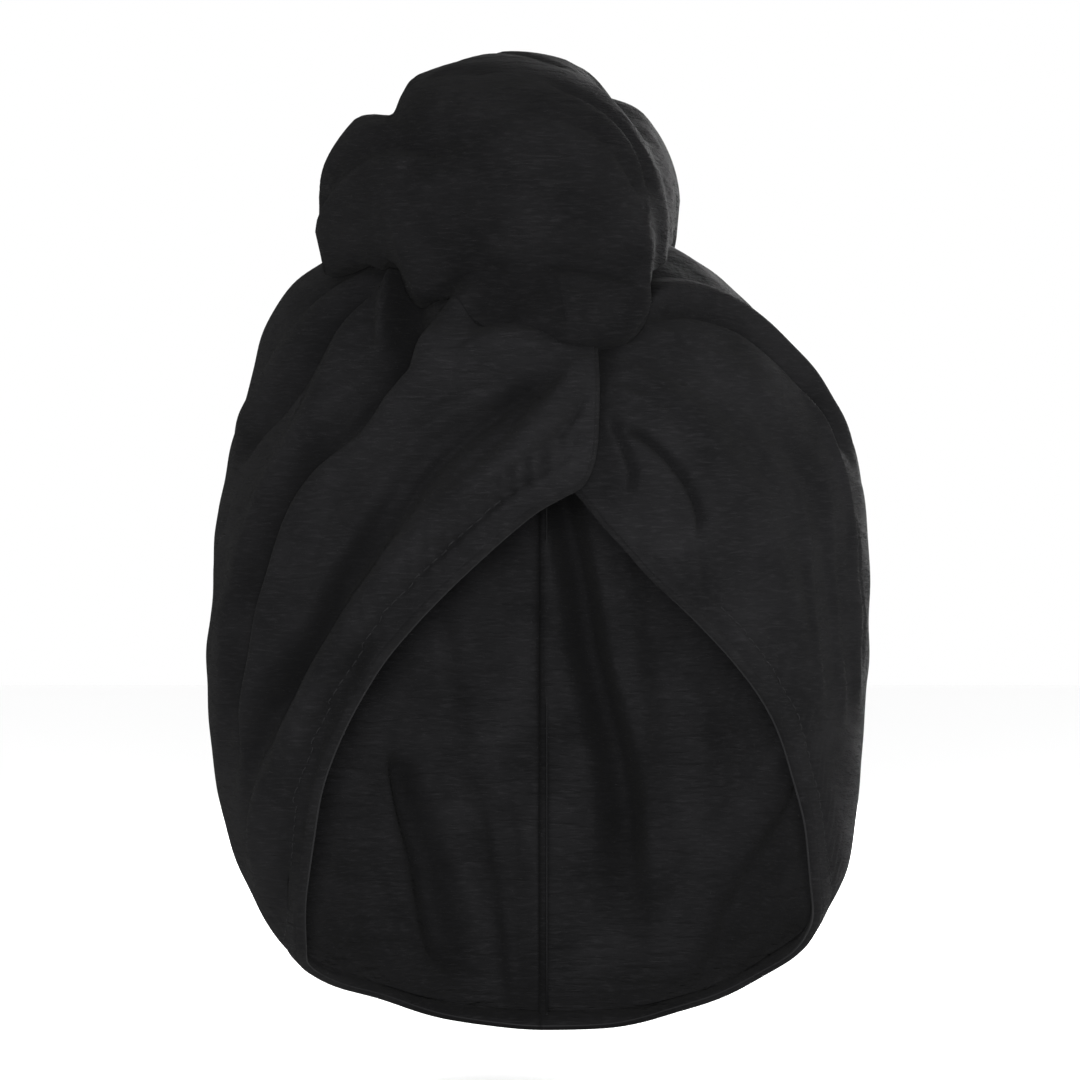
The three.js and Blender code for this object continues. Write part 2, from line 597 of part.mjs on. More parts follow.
// The height over the tail's line at which the hood's face lies, beside the line
function hoodUnder(place, frame, sideways) {
  let rise = 0;
  for (let i = 0; i < 5; i += 1) {
    const p = place.point.clone().addScaledVector(frame.across, sideways).addScaledVector(frame.up, rise);
    const foot = footOf(p);
    const lean = Math.max(frame.up.dot(formNormal(foot.azimuth, foot.latitude)), 0.35);
    rise += (highestPush(foot.azimuth, foot.latitude) - foot.height) / lean;
  }
  return rise;
}

// How deep the grooves cut into the tail at one turn and place round it
function grooveCut(turn, angle, size) {
  const perTurn = rad((hoodDepth + tailHeight) / 2);
  const perAngle = rad(tailWidth * 0.45);
  return tailGrooves.reduce((cut, groove) => {
    const run = groove.run.map(([t, a]) => [t * perTurn, a * perAngle, 0]);
    const { nearest, along } = nearestOn(run, turn * perTurn, angle * perAngle, 0);
    const across = nearest / (groove.width * tailWidth);
    if (across >= 1) return cut;
    const ends = smoothStep(0, 0.12, along + 0.05) * smoothStep(0, 0.2, 1.04 - along);
    return cut + groove.depth * grooveDepth * size * ends * (1 - across * across) ** 2;
  }, 0);
}

// The tail: one long roll of twisted cloth whose underside lies on the hood
function twistedTail() {
  const first = tailTurns[0];
  const last = tailTurns[tailTurns.length - 1];
  return ringBody(Array.from({ length: tailSteps + 1 }, (_, i) => {
    const s = i / tailSteps;
    const turn = THREE.MathUtils.lerp(first, last, 0.28 * s + 0.72 * s ** 1.45);
    const place = tailPlace(turn);
    const up = formNormal(place.azimuth, place.latitude);
    const ahead = new THREE.Vector3().crossVectors(up, new THREE.Vector3(1, 0, 0)).normalize();
    const across = new THREE.Vector3().crossVectors(ahead, up).normalize();
    const halfWidth = (tailWidth / 2) * tailValue('width', turn);
    const height = tailHeight * tailValue('height', turn);
    const size = tailValue('height', turn);
    const roundness = tailValue('roundness', turn);
    const belly = tailValue('belly', turn);
    return Array.from({ length: tailSides }, (__, k) => {
      const angle = (k / tailSides) * 360;
      const cut = grooveCut(turn, angle, size);
      const low = angle > 180;
      const c = low ? angle / 90 - 3 : Math.sign(Math.cos(rad(angle))) * Math.abs(Math.cos(rad(angle))) ** roundness;
      const z = low ? -((1 - Math.abs(c) ** footSquareness) ** (1 / footSquareness))
        : Math.max(Math.sin(rad(angle)), 0) ** roundness;
      const sideways = (halfWidth - cut * Math.abs(c)) * c;
      const floor = hoodUnder(place, { across, up }, sideways) + layGap;
      const top = Math.max(height - cut, floor + 2 * cloth);
      const mid = Math.max(height * 0.08, floor + (top - floor) * belly);
      const rise = z >= 0 ? mid + (top - mid) * z : mid + (mid - floor) * z;
      return place.point.clone().addScaledVector(across, sideways).addScaledVector(up, rise);
    });
  }));
}

// The button that holds the tail's end, seen from its shank's foot outwards
function napeButton() {
  const place = tailPlace(buttonTurn);
  const up = formNormal(place.azimuth, place.latitude);
  const foot = foldPush(place.azimuth, place.latitude) + sewnGap;
  const rest = highestPush(place.azimuth, place.latitude) + layGap;
  const top = Math.max(tailHeight * tailValue('height', buttonTurn), rest + 2 * cloth) + 2 * layGap;
  const shank = shankDiameter / 2;
  const disc = buttonDiameter / 2;
  const profile = [[0, foot], [shank, foot], [shank, top], [disc - buttonRim, top], [disc, top + buttonRim],
    [disc, top + buttonThickness * 0.6], [disc * 0.86, top + buttonThickness * 0.94], [disc * 0.62, top + buttonThickness],
    [disc * 0.5, top + buttonThickness * 0.7], [0, top + buttonThickness * 0.7]];
  const rings = profile.slice(1, -1);
  const count = 16;
  const body = ringBody(rings.map(([r, z]) => Array.from({ length: count }, (_, k) => {
    const angle = (k / count) * 2 * Math.PI;
    return new THREE.Vector3(r * Math.cos(angle), z, r * Math.sin(angle));
  })));
  body.applyQuaternion(new THREE.Quaternion().setFromUnitVectors(new THREE.Vector3(0, 1, 0), up));
  return body.translate(place.point.x, place.point.y, place.point.z);
}

// Cuts one closed body out of another
async function cutOut(body, tool) {
  const wasm = await Module();
  wasm.setup();
  const solid = (geometry) => new wasm.Manifold(new wasm.Mesh({
    numProp: 3,
    vertProperties: Float32Array.from(geometry.attributes.position.array),
    triVerts: Uint32Array.from(geometry.index.array),
  }));
  const mesh = solid(body).subtract(solid(tool)).getMesh();
  const geometry = new THREE.BufferGeometry();
  geometry.setAttribute('position', new THREE.Float32BufferAttribute(mesh.vertProperties, 3));
  geometry.setIndex([...mesh.triVerts]);
  geometry.computeVertexNormals();
  return geometry;
}

// The buttonhole through the tail's end
function buttonhole() {
  const place = tailPlace(buttonTurn);
  const up = formNormal(place.azimuth, place.latitude);
  const body = new THREE.CylinderGeometry(1, 1, tailHeight, 14);
  body.deleteAttribute('uv');
  body.deleteAttribute('normal');
  const hole = mergeVertices(body).scale(shankDiameter / 2 + buttonholeGap, 1, shankDiameter / 2 + buttonholeGap);
  hole.applyQuaternion(new THREE.Quaternion().setFromUnitVectors(new THREE.Vector3(0, 1, 0), up));
  return hole.translate(place.point.x, place.point.y, place.point.z);
}

const paint = (color, roughness) => new THREE.MeshStandardMaterial({ color, roughness, metalness: 0 });
const towelling = paint(0x202022, 0.95);
const hemCloth = paint(0x242426, 0.92);
const seamCloth = paint(0x2a2a2c, 0.9);
const buttonPlastic = paint(0x1a1a1b, 0.45);

const wrap = new THREE.Group();
function add(name, geometry, material) {
  const mesh = new THREE.Mesh(geometry, material);
  mesh.name = name;
  wrap.add(mesh);
  return mesh;
}

add('hood_left_panel', hoodPanel('left'), towelling);
add('hood_right_panel', hoodPanel('right'), towelling);
add('left_edge_hem', edgeHem('left'), hemCloth);
add('right_edge_hem', edgeHem('right'), hemCloth);
add('back_seam', backSeam(), seamCloth);
add('twisted_tail', await cutOut(twistedTail(), buttonhole()), towelling);
add('nape_button', napeButton(), buttonPlastic);

export default wrap;
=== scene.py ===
import math
import bpy
import numpy as np
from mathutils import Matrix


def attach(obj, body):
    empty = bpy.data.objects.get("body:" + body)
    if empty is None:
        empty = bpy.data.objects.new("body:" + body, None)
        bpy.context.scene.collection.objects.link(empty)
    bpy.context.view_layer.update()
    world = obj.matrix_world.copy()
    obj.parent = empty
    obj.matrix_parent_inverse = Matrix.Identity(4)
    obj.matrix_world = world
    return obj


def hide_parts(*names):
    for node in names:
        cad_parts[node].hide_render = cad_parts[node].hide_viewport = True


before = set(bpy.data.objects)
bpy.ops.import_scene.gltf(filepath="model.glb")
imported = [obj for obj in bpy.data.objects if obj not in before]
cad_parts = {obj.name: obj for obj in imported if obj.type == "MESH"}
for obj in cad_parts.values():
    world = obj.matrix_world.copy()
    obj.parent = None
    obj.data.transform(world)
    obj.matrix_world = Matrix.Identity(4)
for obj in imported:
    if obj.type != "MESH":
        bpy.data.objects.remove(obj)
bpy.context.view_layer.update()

# The left panel is one cut of thick black microfibre towelling, sewn to its twin up the back and over the
# crown. It is pulled round the head and gathered at the forehead, which draws it into long sloping folds.
CLOTH = 0.0026
HOOD_UNIT = np.array([0.1015, 0.116, 0.105])
HOOD_MIDDLE = np.array([0.0, 0.0, -0.1054])
# how far the hood reaches at each latitude, in shares of HOOD_UNIT
LATITUDES = [-75, -60, -45, -30, -15, 0, 15, 30, 45, 60, 75, 90]
REACH_LEFT = [1.35, 1.365, 1.26, 1.135, 1.035, 0.975, 0.985, 1.015, 1.11, 1.09, 1.045, 1.028]
REACH_RIGHT = [1.37, 1.385, 1.285, 1.112, 1.022, 0.99, 0.998, 0.994, 0.985, 1.01, 1.03, 1.028]
REACH_FRONT = [1.45, 1.36, 1.16, 1.047, 0.99, 0.99, 1.035, 1.095, 1.125, 1.105, 1.055, 1.028]
REACH_BACK = [1.5, 1.459, 1.21, 1.091, 1.027, 0.999, 1.002, 1.028, 1.052, 1.059, 1.042, 1.028]


def smooth_rows(xs, ys, x):
    """A smooth curve through table rows, with xs rising."""
    xs, ys = np.asarray(xs, float), np.asarray(ys, float)
    x = np.clip(x, xs[0], xs[-1])
    k = np.arange(len(xs))
    before, after = np.maximum(k - 1, 0), np.minimum(k + 1, len(xs) - 1)
    slope = (ys[after] - ys[before]) / (xs[after] - xs[before])
    i = np.clip(np.searchsorted(xs, x, side="right") - 1, 0, len(xs) - 2)
    step = xs[i + 1] - xs[i]
    t = (x - xs[i]) / step
    return (
        (2 * t**3 - 3 * t**2 + 1) * ys[i]
        + (t**3 - 2 * t**2 + t) * step * slope[i]
        + (3 * t**2 - 2 * t**3) * ys[i + 1]
        + (t**3 - t**2) * step * slope[i + 1]
    )


def smooth_points(at, points, wanted):
    """A smooth curve through points, looked up at the wanted places."""
    return np.stack([smooth_rows(at, points[:, k], wanted) for k in range(points.shape[1])], axis=-1)


def ease(low, high, x):
    """0 below low, 1 above high, and a soft rise between them."""
    t = np.clip((np.asarray(x, float) - low) / (high - low), 0, 1)
    return t * t * (3 - 2 * t)


def unit(v):
    return v / np.maximum(np.linalg.norm(v, axis=-1, keepdims=True), 1e-12)


def toward(azimuth, latitude):
    """The direction from the middle of the hood: azimuth 0 is the front, plus is the photo's right."""
    a, b = np.radians(azimuth), np.radians(latitude)
    return np.stack([np.cos(b) * np.sin(a), -np.cos(b) * np.cos(a), np.sin(b) + 0 * a], axis=-1)


def angles(way):
    """Azimuth and latitude of a direction."""
    azimuth = np.degrees(np.arctan2(way[..., 0], -way[..., 1]))
    return azimuth, np.degrees(np.arcsin(np.clip(way[..., 2], -1, 1)))


def plain_hood(way):
    """The hood's plain outer form, without folds, in one direction."""
    azimuth, latitude = angles(way)
    aside, ahead = np.sin(np.radians(azimuth)), np.cos(np.radians(azimuth))
    left, right = smooth_rows(LATITUDES, REACH_LEFT, latitude), smooth_rows(LATITUDES, REACH_RIGHT, latitude)
    front, back = smooth_rows(LATITUDES, REACH_FRONT, latitude), smooth_rows(LATITUDES, REACH_BACK, latitude)
    across, along = np.where(aside < 0, left, right), np.where(ahead > 0, front, back)
    reach = 1 / np.sqrt((ahead / along) ** 2 + (aside / across) ** 2)
    return way * HOOD_UNIT * reach[..., None] + HOOD_MIDDLE


def square_off(way):
    """The outward normal of the plain form, from two small steps across it."""
    up = np.where(np.abs(way[..., 2:]) > 0.9, [0.0, 1.0, 0.0], [0.0, 0.0, 1.0])
    level = unit(np.cross(up, way))
    upward = np.cross(way, level)
    step = math.radians(0.5)
    across = plain_hood(unit(way + step * level)) - plain_hood(unit(way - step * level))
    rise = plain_hood(unit(way + step * upward)) - plain_hood(unit(way - step * upward))
    normal = unit(np.cross(across, rise))
    return normal * np.sign((normal * way).sum(-1, keepdims=True))


def foot(point):
    """The direction whose normal passes through a point, and the point's height over the form there."""
    way = unit((point - HOOD_MIDDLE) / HOOD_UNIT)
    for _ in range(4):
        normal = square_off(way)
        height = ((point - plain_hood(way)) * normal).sum(-1, keepdims=True)
        way = unit((point - height * normal - HOOD_MIDDLE) / HOOD_UNIT)
    return way, height[..., 0]


# run over the hood (azimuth, latitude), half width at its start and end in mm, height in mm (minus is a
# valley seen from outside), and how sharp its middle is
FOLDS = [
    # the left front: rolls and valleys from the knot down to the cheek, and the pinched cloth at the temple
    ([(7, 33), (0, 22), (-8, 15), (-17, 8.5), (-26, -1), (-36, -12.5), (-47, -26), (-57, -37), (-68, -45),
      (-80, -50)], 7, 13, 6.0, 0.1),
    ([(-8, 26.5), (-14, 23), (-20, 19), (-26, 12.5), (-32, 5), (-37, -1.5), (-42, -9), (-48, -16), (-54, -22),
      (-61, -30), (-69, -40)], 3.6, 6, -2.2, 0.3),
    ([(-26, 42), (-26, 34), (-33, 23.5), (-43, 16.5), (-50, 8.5), (-55.5, -1), (-61, -13)], 4, 6, -2.2, 0.3),
    ([(-27, -7), (-38, -20), (-45, -29.5), (-52, -38.5), (-62, -46), (-80, -53)], 5, 8, -4.2, 0.6),
    ([(4, 31.5), (-2, 27.5), (-8.5, 23.5), (-17, 17.5), (-27.5, 6.5), (-36, -3), (-44.5, -13), (-53, -22),
      (-62, -32), (-74, -42)], 6, 10, -5.6, 0.4),
    ([(3, 35.5), (-8, 34.5), (-22, 29.5), (-34, 21.5), (-43, 12), (-49, 0), (-55, -14), (-61, -30),
      (-70, -42)], 8, 15, 6.9, 0),
    ([(-29, 51), (-27, 42), (-26, 34), (-32, 24), (-43, 17.5), (-50, 10), (-57, -4), (-64, -21),
      (-74, -36)], 10, 14, -7.6, 0.4),
    ([(-4, 54), (-11, 46), (-15, 39), (-22, 30)], 8, 9, 7.5, 0),
    ([(-30, 50), (-41, 33), (-46, 22), (-55, 11), (-66, -4), (-78, -24)], 8, 17, 3.6, 0),
    ([(-36, 46), (-41, 41), (-46.5, 37.5), (-53, 30), (-65, 23), (-75, 18)], 5, 8, -4.4, 0.6),
    ([(-33, 53), (-45, 44.5), (-57, 36), (-70, 27), (-80, 20)], 8, 12, 3.4, 0),
    ([(-12, 56), (-24, 51), (-38, 50), (-54, 45), (-72, 38)], 6, 9, -2.2, 0.6),
    ([(-62, 8), (-78, 4), (-98, 0), (-122, -4)], 14, 18, 1.6, 0),
    ([(-72, 12), (-84, 3), (-97, -9), (-112, -24)], 8, 12, -1.8, 0.4),
    # beside the knot, one small pleat on the left and one slit on the right
    ([(-32.5, 48), (-31.5, 41), (-30, 34)], 3.6, 3.6, 5.5, 0.2),
    ([(25, 47), (20, 42), (17, 39), (15, 36)], 3.2, 3.2, -5.0, 0.9),
    # the seam's ridge up the middle of the back
    ([(180, 48), (180, 20), (180, -6), (180, -34)], 3.2, 2.6, 2.0, 0.3),
    # small creases over the left front
    ([(4, 30), (-2, 25), (-7, 19.5), (-13, 15)], 2.6, 3.4, -1.7, 0.8),
    ([(8.5, 27), (3, 21), (-3, 16.5), (-10, 12)], 2.4, 3.2, -1.3, 0.8),
    ([(-12, 33.5), (-21, 31), (-30, 27), (-37, 21)], 3.0, 4.0, -1.3, 0.7),
    ([(-38, 16), (-44, 6), (-49, -6), (-54, -19)], 3.5, 5.0, -1.5, 0.6),
    ([(-58, 4), (-64, -8), (-69, -20), (-76, -31)], 5, 7, -1.8, 0.5),
    ([(-47, -27), (-55, -36), (-64, -42)], 3.2, 4.2, -1.4, 0.7),
    # the right front: one long bow from the knot, soft folds down the cheek, and creases beside the opening
    ([(19, 42), (31, 46), (47, 47), (60, 43.5), (69, 36), (76, 26), (82, 14)], 7, 9, 3.4, 0.1),
    ([(19.5, 40), (33, 43), (46, 42), (57, 37.5), (67, 29), (74, 19)], 4.5, 6, -3.6, 0.8),
    ([(62, 31), (66, 20), (68.5, 8), (71, -8), (76, -24)], 4, 7, 1.8, 0.3),
    ([(14, 22), (18, 20.5), (22, 17.5), (25.5, 13.5), (27.8, 8.5), (27.5, 4)], 3.0, 3.6, -3.4, 0.8),
    ([(12.5, 24), (14.5, 19), (15.6, 15), (15, 11)], 2.6, 3.0, -2.6, 0.8),
    ([(13, 30), (19, 27), (25, 22), (30, 15)], 3.4, 5, -1.6, 0.7),
    ([(14, 33), (24, 31), (34, 26), (42, 18)], 3.4, 6, -1.5, 0.7),
    ([(15, 28), (25, 24), (35, 14), (43, 2), (50, -12), (60, -28)], 9, 14, 2.6, 0),
    ([(17, 34), (30, 32), (43, 25), (55, 12), (61, -4), (66, -20)], 8, 14, -2.2, 0.2),
    ([(50, 16), (52, 4), (54, -10), (58, -24)], 4, 5, 1.2, 0.2),
    ([(59, 14), (61, 2), (64, -12), (68, -26)], 4, 5, 1.3, 0.2),
    ([(72, 10), (74, -4), (78, -18)], 4.5, 5.5, 1.1, 0.2),
    ([(16, 5), (24, -2), (33, -9.5), (43, -18)], 3.5, 4.5, -1.3, 0.6),
    ([(90, 30), (100, 8), (108, -14), (116, -32)], 10, 14, 1.8, 0),
    # the back, seen through the opening: hollow folds that run down to the nape beside the seam
    ([(178, 30), (176, 12), (173.3, -1), (171, -15), (167.5, -26), (164.5, -35), (162, -46),
      (160, -56)], 8.5, 9.5, 10.2, 0.1),
    ([(-169, -38), (-171, -47), (-173, -55), (-174, -64)], 3.4, 4.4, 2.0, 0.3),
    ([(164, 36), (160, 14), (157, -8), (153, -28), (150, -48)], 10, 13, -3.4, 0.1),
    ([(-152, -30), (-153, -38), (-156, -48), (-160, -60)], 6, 10, 9.0, 0.2),
    ([(-160, 10), (-161, -14), (-163, -36), (-165, -58)], 9, 11, -2.6, 0.1),
    ([(-172, -36), (-174, -46), (-175, -55), (-176.5, -66)], 5, 7, 2.4, 0.3),
    ([(-128, 8), (-131, -14), (-135, -34), (-140, -54)], 8, 12, 1.8, 0.2),
    ([(116, -16), (124, -31), (133, -41), (141, -50), (144, -64)], 8, 11, 4.4, 0.1),
]
FOLD_STEPS = 24
FOLD_RISE_SHARE = 0.18
FOLD_FALL_SHARE = 0.22
MEAN_RADIUS_MM = 108.75
SLOW_WAVE_MM = 0.35
QUICK_WAVE_MM = 0.25


def corner_places(corners):
    """How far along a curve its corners lie; the square root keeps its short legs from swinging out."""
    return np.concatenate([[0], np.cumsum(np.sqrt(np.linalg.norm(np.diff(corners, axis=0), axis=1)))])


def smooth_run(points, count):
    """Directions spaced along a smooth curve over the hood."""
    corners = np.array([toward(a, b) for a, b in points])
    at = corner_places(corners)
    return unit(smooth_points(at, corners, np.linspace(0, at[-1], count)))


def nearest_on(run, places):
    """How far each place is from a run, and how far along the run that is."""
    best = np.full(places.shape[:-1], np.inf)
    along = np.zeros(places.shape[:-1])
    for k in range(len(run) - 1):
        leg = run[k + 1] - run[k]
        t = np.clip(((places - run[k]) @ leg) / (leg @ leg), 0, 1)
        away = np.linalg.norm(places - run[k] - t[..., None] * leg, axis=-1)
        closer = away < best
        best = np.where(closer, away, best)
        along = np.where(closer, (k + t) / (len(run) - 1), along)
    return best, along


FOLD_RUNS = [smooth_run(fold[0], FOLD_STEPS) for fold in FOLDS]


def folds_at(way):
    """How far the folds, and a slight unevenness everywhere, push the cloth out, in metres."""
    push = np.zeros(way.shape[:-1])
    for run, (_, start, end, height, sharp) in zip(FOLD_RUNS, FOLDS):
        away, along = nearest_on(run, way)
        across = np.clip(away * MEAN_RADIUS_MM / (start + (end - start) * along), 0, 1)
        fade = ease(0, FOLD_RISE_SHARE, along + 0.04) * ease(0, FOLD_FALL_SHARE, 1.02 - along)
        push += height * fade * (1 - across ** (2 - sharp)) ** 2
    x, y, z = way[..., 0], way[..., 1], way[..., 2]
    push += SLOW_WAVE_MM * np.sin(17 * x + 9 * z + 1) * np.sin(13 * y - 11 * z)
    push += QUICK_WAVE_MM * np.sin(31 * z + 12 * y) * np.sin(23 * x + 2)
    return push / 1000


def cloth_at(way, lift):
    """A place on the folded cloth's outer face, or lifted off it."""
    return plain_hood(way) + square_off(way) * (folds_at(way) + lift)[..., None]


# the cloth edge (azimuth, latitude), from the lap down the opening and round the nape to its middle
LEFT_EDGE = [(10.2, 35), (9.8, 26), (9, 18), (7, 13.6), (3.6, 11.8), (-1, 9.4), (-8, 4), (-18, -4.6),
             (-28.5, -14.5), (-38, -25.5), (-46.5, -36), (-55, -46), (-66, -54), (-82, -58.2), (-110, -63.6),
             (-145, -67), (-180, -67.8)]
# how the cloth lies: share of the edge, azimuth and latitude halfway up, latitude at the crown seam
LEFT_LAY = [(0, 2, 43, 47), (0.11, -9, 42, 52), (0.22, -25, 45, 58), (0.33, -44, 41, 64), (0.45, -64, 31, 70),
            (0.56, -83, 22, 75), (0.68, -108, 15, 80), (0.84, -143, 14, 85), (1, -180, 14, 90)]
LAP_AZIMUTH = 10
LAP_SINK = 0.0046
LAP_SLOPE_MM = 11
LAP_TOP = (38, 46)
EDGE_STEPS = 900
EDGE_TUCK = 0.0004
PANEL_COLUMNS = 260
PANEL_ROWS = 170


def reach_along(points):
    """The length from the start of a line to each of its points."""
    return np.concatenate([[0], np.cumsum(np.linalg.norm(np.diff(points, axis=0), axis=1))])


def looked_up(wanted, at, points):
    """Points on a line in straight steps, at the wanted places."""
    return np.stack([np.interp(wanted, at, points[:, k]) for k in range(3)], axis=-1)


def edge_line(edge, count, turn):
    """Evenly spaced places on a panel's cloth edge, each with its normal and the way in over the cloth."""
    corners = np.array(edge, float)
    at = corner_places(corners)
    t = np.linspace(0, at[-1], EDGE_STEPS)
    fine = toward(smooth_rows(at, corners[:, 0], t), smooth_rows(at, corners[:, 1], t))
    points = cloth_at(fine, -CLOTH / 2)
    reach = reach_along(points)
    even = np.linspace(0, reach[-1], count)
    way = unit(looked_up(even, reach, fine))
    point = looked_up(even, reach, points)
    normal = square_off(way)
    inward = unit(np.cross(unit(np.gradient(point, axis=0)), normal)) * turn
    inward[-1, 0] = normal[-1, 0] = 0
    return {"way": way, "point": point, "normal": unit(normal), "inward": unit(inward), "length": reach[-1]}


def lap_sink(way, lapped):
    """How far the right side sinks where the left one laps over it."""
    azimuth, latitude = angles(way)
    past = LAP_AZIMUTH + math.degrees(LAP_SLOPE_MM / MEAN_RADIUS_MM)
    return -LAP_SINK * lapped * (1 - ease(LAP_AZIMUTH, past, azimuth)) * (1 - ease(*LAP_TOP, latitude))


def sunk_edge(edge, lapped):
    """The places on a cloth edge, let down where the other panel laps over them."""
    return edge["point"] + edge["normal"] * lap_sink(edge["way"], lapped)[:, None]


def panel_ways(edge, lay, lapped):
    """Directions over one panel: columns along the cloth edge, rows from the edge up to the crown seam."""
    rim, _ = foot(sunk_edge(edge, lapped) + EDGE_TUCK * edge["inward"])
    rim[-1, 0] = 0
    rim = unit(rim)
    share = np.linspace(0, 1, PANEL_COLUMNS)
    lay = np.array(lay, float)
    middle = unit(smooth_points(lay[:, 0], toward(lay[:, 1], lay[:, 2]), share))
    top = unit(smooth_points(lay[:, 0], toward(LAP_AZIMUTH + 0 * lay[:, 3], lay[:, 3]), share))
    t = np.linspace(0, 1, PANEL_ROWS)
    up = (0.45 * t + 0.55 * t**2)[None, :, None]
    from_rim, from_middle, from_top = (1 - up) * (1 - 2 * up), 4 * up * (1 - up), up * (2 * up - 1)
    return unit(rim[:, None] * from_rim + middle[:, None] * from_middle + top[:, None] * from_top)


def mesh_piece(name, points, face_groups):
    """A smooth-shaded mesh object from groups of four-sided and three-sided faces, all looking outwards."""
    volume = 0
    for faces in face_groups:
        corner = points[faces]
        for k in range(2, faces.shape[1]):
            volume += (corner[:, 0] * np.cross(corner[:, k - 1], corner[:, k])).sum()
    step = 1 if volume > 0 else -1
    outwards = [face for faces in face_groups for face in faces[:, ::step].tolist()]
    mesh = bpy.data.meshes.new(name)
    mesh.from_pydata(points.tolist(), [], outwards)
    mesh.polygons.foreach_set("use_smooth", [True] * len(mesh.polygons))
    mesh.update()
    piece = bpy.data.objects.new(name, mesh)
    bpy.context.scene.collection.objects.link(piece)
    return piece


def wall_mesh(name, outer, inner):
    """A closed cloth wall from a grid of outer points and the inner points beneath them."""
    n, m = outer.shape[:2]
    o, i = np.arange(2 * n * m).reshape(2, n, m)

    def quads(a, b, c, d):
        return np.stack([a.ravel(), b.ravel(), c.ravel(), d.ravel()], axis=-1)

    faces = np.concatenate([
        quads(o[:-1, :-1], o[1:, :-1], o[1:, 1:], o[:-1, 1:]),
        quads(i[:-1, 1:], i[1:, 1:], i[1:, :-1], i[:-1, :-1]),
        quads(i[:-1, 0], i[1:, 0], o[1:, 0], o[:-1, 0]),
        quads(o[:-1, -1], o[1:, -1], i[1:, -1], i[:-1, -1]),
        quads(o[0, :-1], o[0, 1:], i[0, 1:], i[0, :-1]),
        quads(i[-1, :-1], i[-1, 1:], o[-1, 1:], o[-1, :-1]),
    ])
    return mesh_piece(name, np.concatenate([outer.reshape(-1, 3), inner.reshape(-1, 3)]), [faces])


# the hem as it shows outside: its bulk, the dent of its stitches, and the gathers above them
HEM_BEGINS_SHARE = (0.07, 0.16)
HEM_BULK = 0.0007
HEM_BULK_ENDS = (0.0068, 0.0095)
STITCH_IN = 0.0082
STITCH_DENT = 0.0007
DENT_WIDTH = 0.0011
GATHER_IN = 0.0125
GATHER_WIDTH = 0.0055
GATHER_HEIGHT = 0.0008
CHEEK_BEGINS = (0.07, 0.14)
NAPE_BEGINS = (0.17, 0.23)
INNER_DENT_SHARE = 0.6
EDGE_ROUNDING = 0.0013
EDGE_SHARE = 0.35
# lengths of cloth for each radian of the gathers' waves
GATHER_WAVE, GATHER_SLANT, WANDER_WAVE = 0.00098, 0.002, 0.011
PATCH_WAVE, PATCH_WANDER_WAVE = 0.0079, 0.023


def hem_gathers(along_edge, from_edge, lapped):
    """Small uneven waves of the cloth above the hem, strongest near the forehead."""
    wander = 2.0 * np.sin(along_edge / WANDER_WAVE)
    waves = np.sin(along_edge / GATHER_WAVE + from_edge / GATHER_SLANT + wander)
    patch_wander = 1.5 * np.sin(along_edge / PATCH_WANDER_WAVE)
    patches = 0.35 + 0.65 * np.sin(along_edge / PATCH_WAVE + patch_wander) ** 2
    patches *= 1 - 0.4 * lapped
    patches *= 1.35 - 0.75 * ease(*CHEEK_BEGINS, along_edge) - 0.4 * ease(*NAPE_BEGINS, along_edge)
    return GATHER_HEIGHT * patches * waves * np.exp(-(((from_edge - GATHER_IN) / GATHER_WIDTH) ** 2))


def cloth_panel(name, edge, lay, lapped):
    """One panel as a wall of cloth, drawn in by the hem's stitches, and the line those stitches follow."""
    ways = panel_ways(edge, lay, lapped)
    normal = square_off(ways)
    face = plain_hood(ways) + normal * (folds_at(ways) + lap_sink(ways, lapped))[..., None]
    steps = np.cumsum(np.linalg.norm(np.diff(face, axis=1), axis=-1), axis=1)
    from_edge = np.concatenate([np.zeros((PANEL_COLUMNS, 1)), steps], axis=1)
    along_edge = reach_along(face[:, 0])[:, None]
    hemmed = ease(*HEM_BEGINS_SHARE, np.linspace(0, 1, PANEL_COLUMNS))[:, None]
    dent = STITCH_DENT * hemmed * np.exp(-(((from_edge - STITCH_IN) / DENT_WIDTH) ** 2))
    thick = CLOTH + HEM_BULK * hemmed * (1 - ease(*HEM_BULK_ENDS, from_edge))
    off_edge = np.clip(from_edge / EDGE_ROUNDING, 0, 1)
    half = thick / 2 * (EDGE_SHARE + (1 - EDGE_SHARE) * np.sqrt(off_edge * (2 - off_edge)))
    middle = face + normal * (hemmed * hem_gathers(along_edge, from_edge, lapped) - CLOTH / 2)[..., None]
    outer = middle + normal * (half - dent)[..., None]
    inner = middle - normal * (half - INNER_DENT_SHARE * dent)[..., None]
    panel = wall_mesh(name, outer, inner)
    # the inside faces take a lighter copy of the same towelling: painted light that brightens the hood's
    # interior
    panel.data.materials.append(black_towelling)
    panel.data.materials.append(inside_painted_light_towelling)
    outer_faces = (PANEL_COLUMNS - 1) * (PANEL_ROWS - 1)
    painted_light_inside_faces = np.zeros(len(panel.data.polygons), int)
    painted_light_inside_faces[outer_faces : 2 * outer_faces] = 1
    panel.data.polygons.foreach_set("material_index", painted_light_inside_faces)
    stitched = np.arange(PANEL_COLUMNS), np.argmin(np.abs(from_edge - STITCH_IN), axis=1)
    return panel, outer[stitched], normal[stitched]


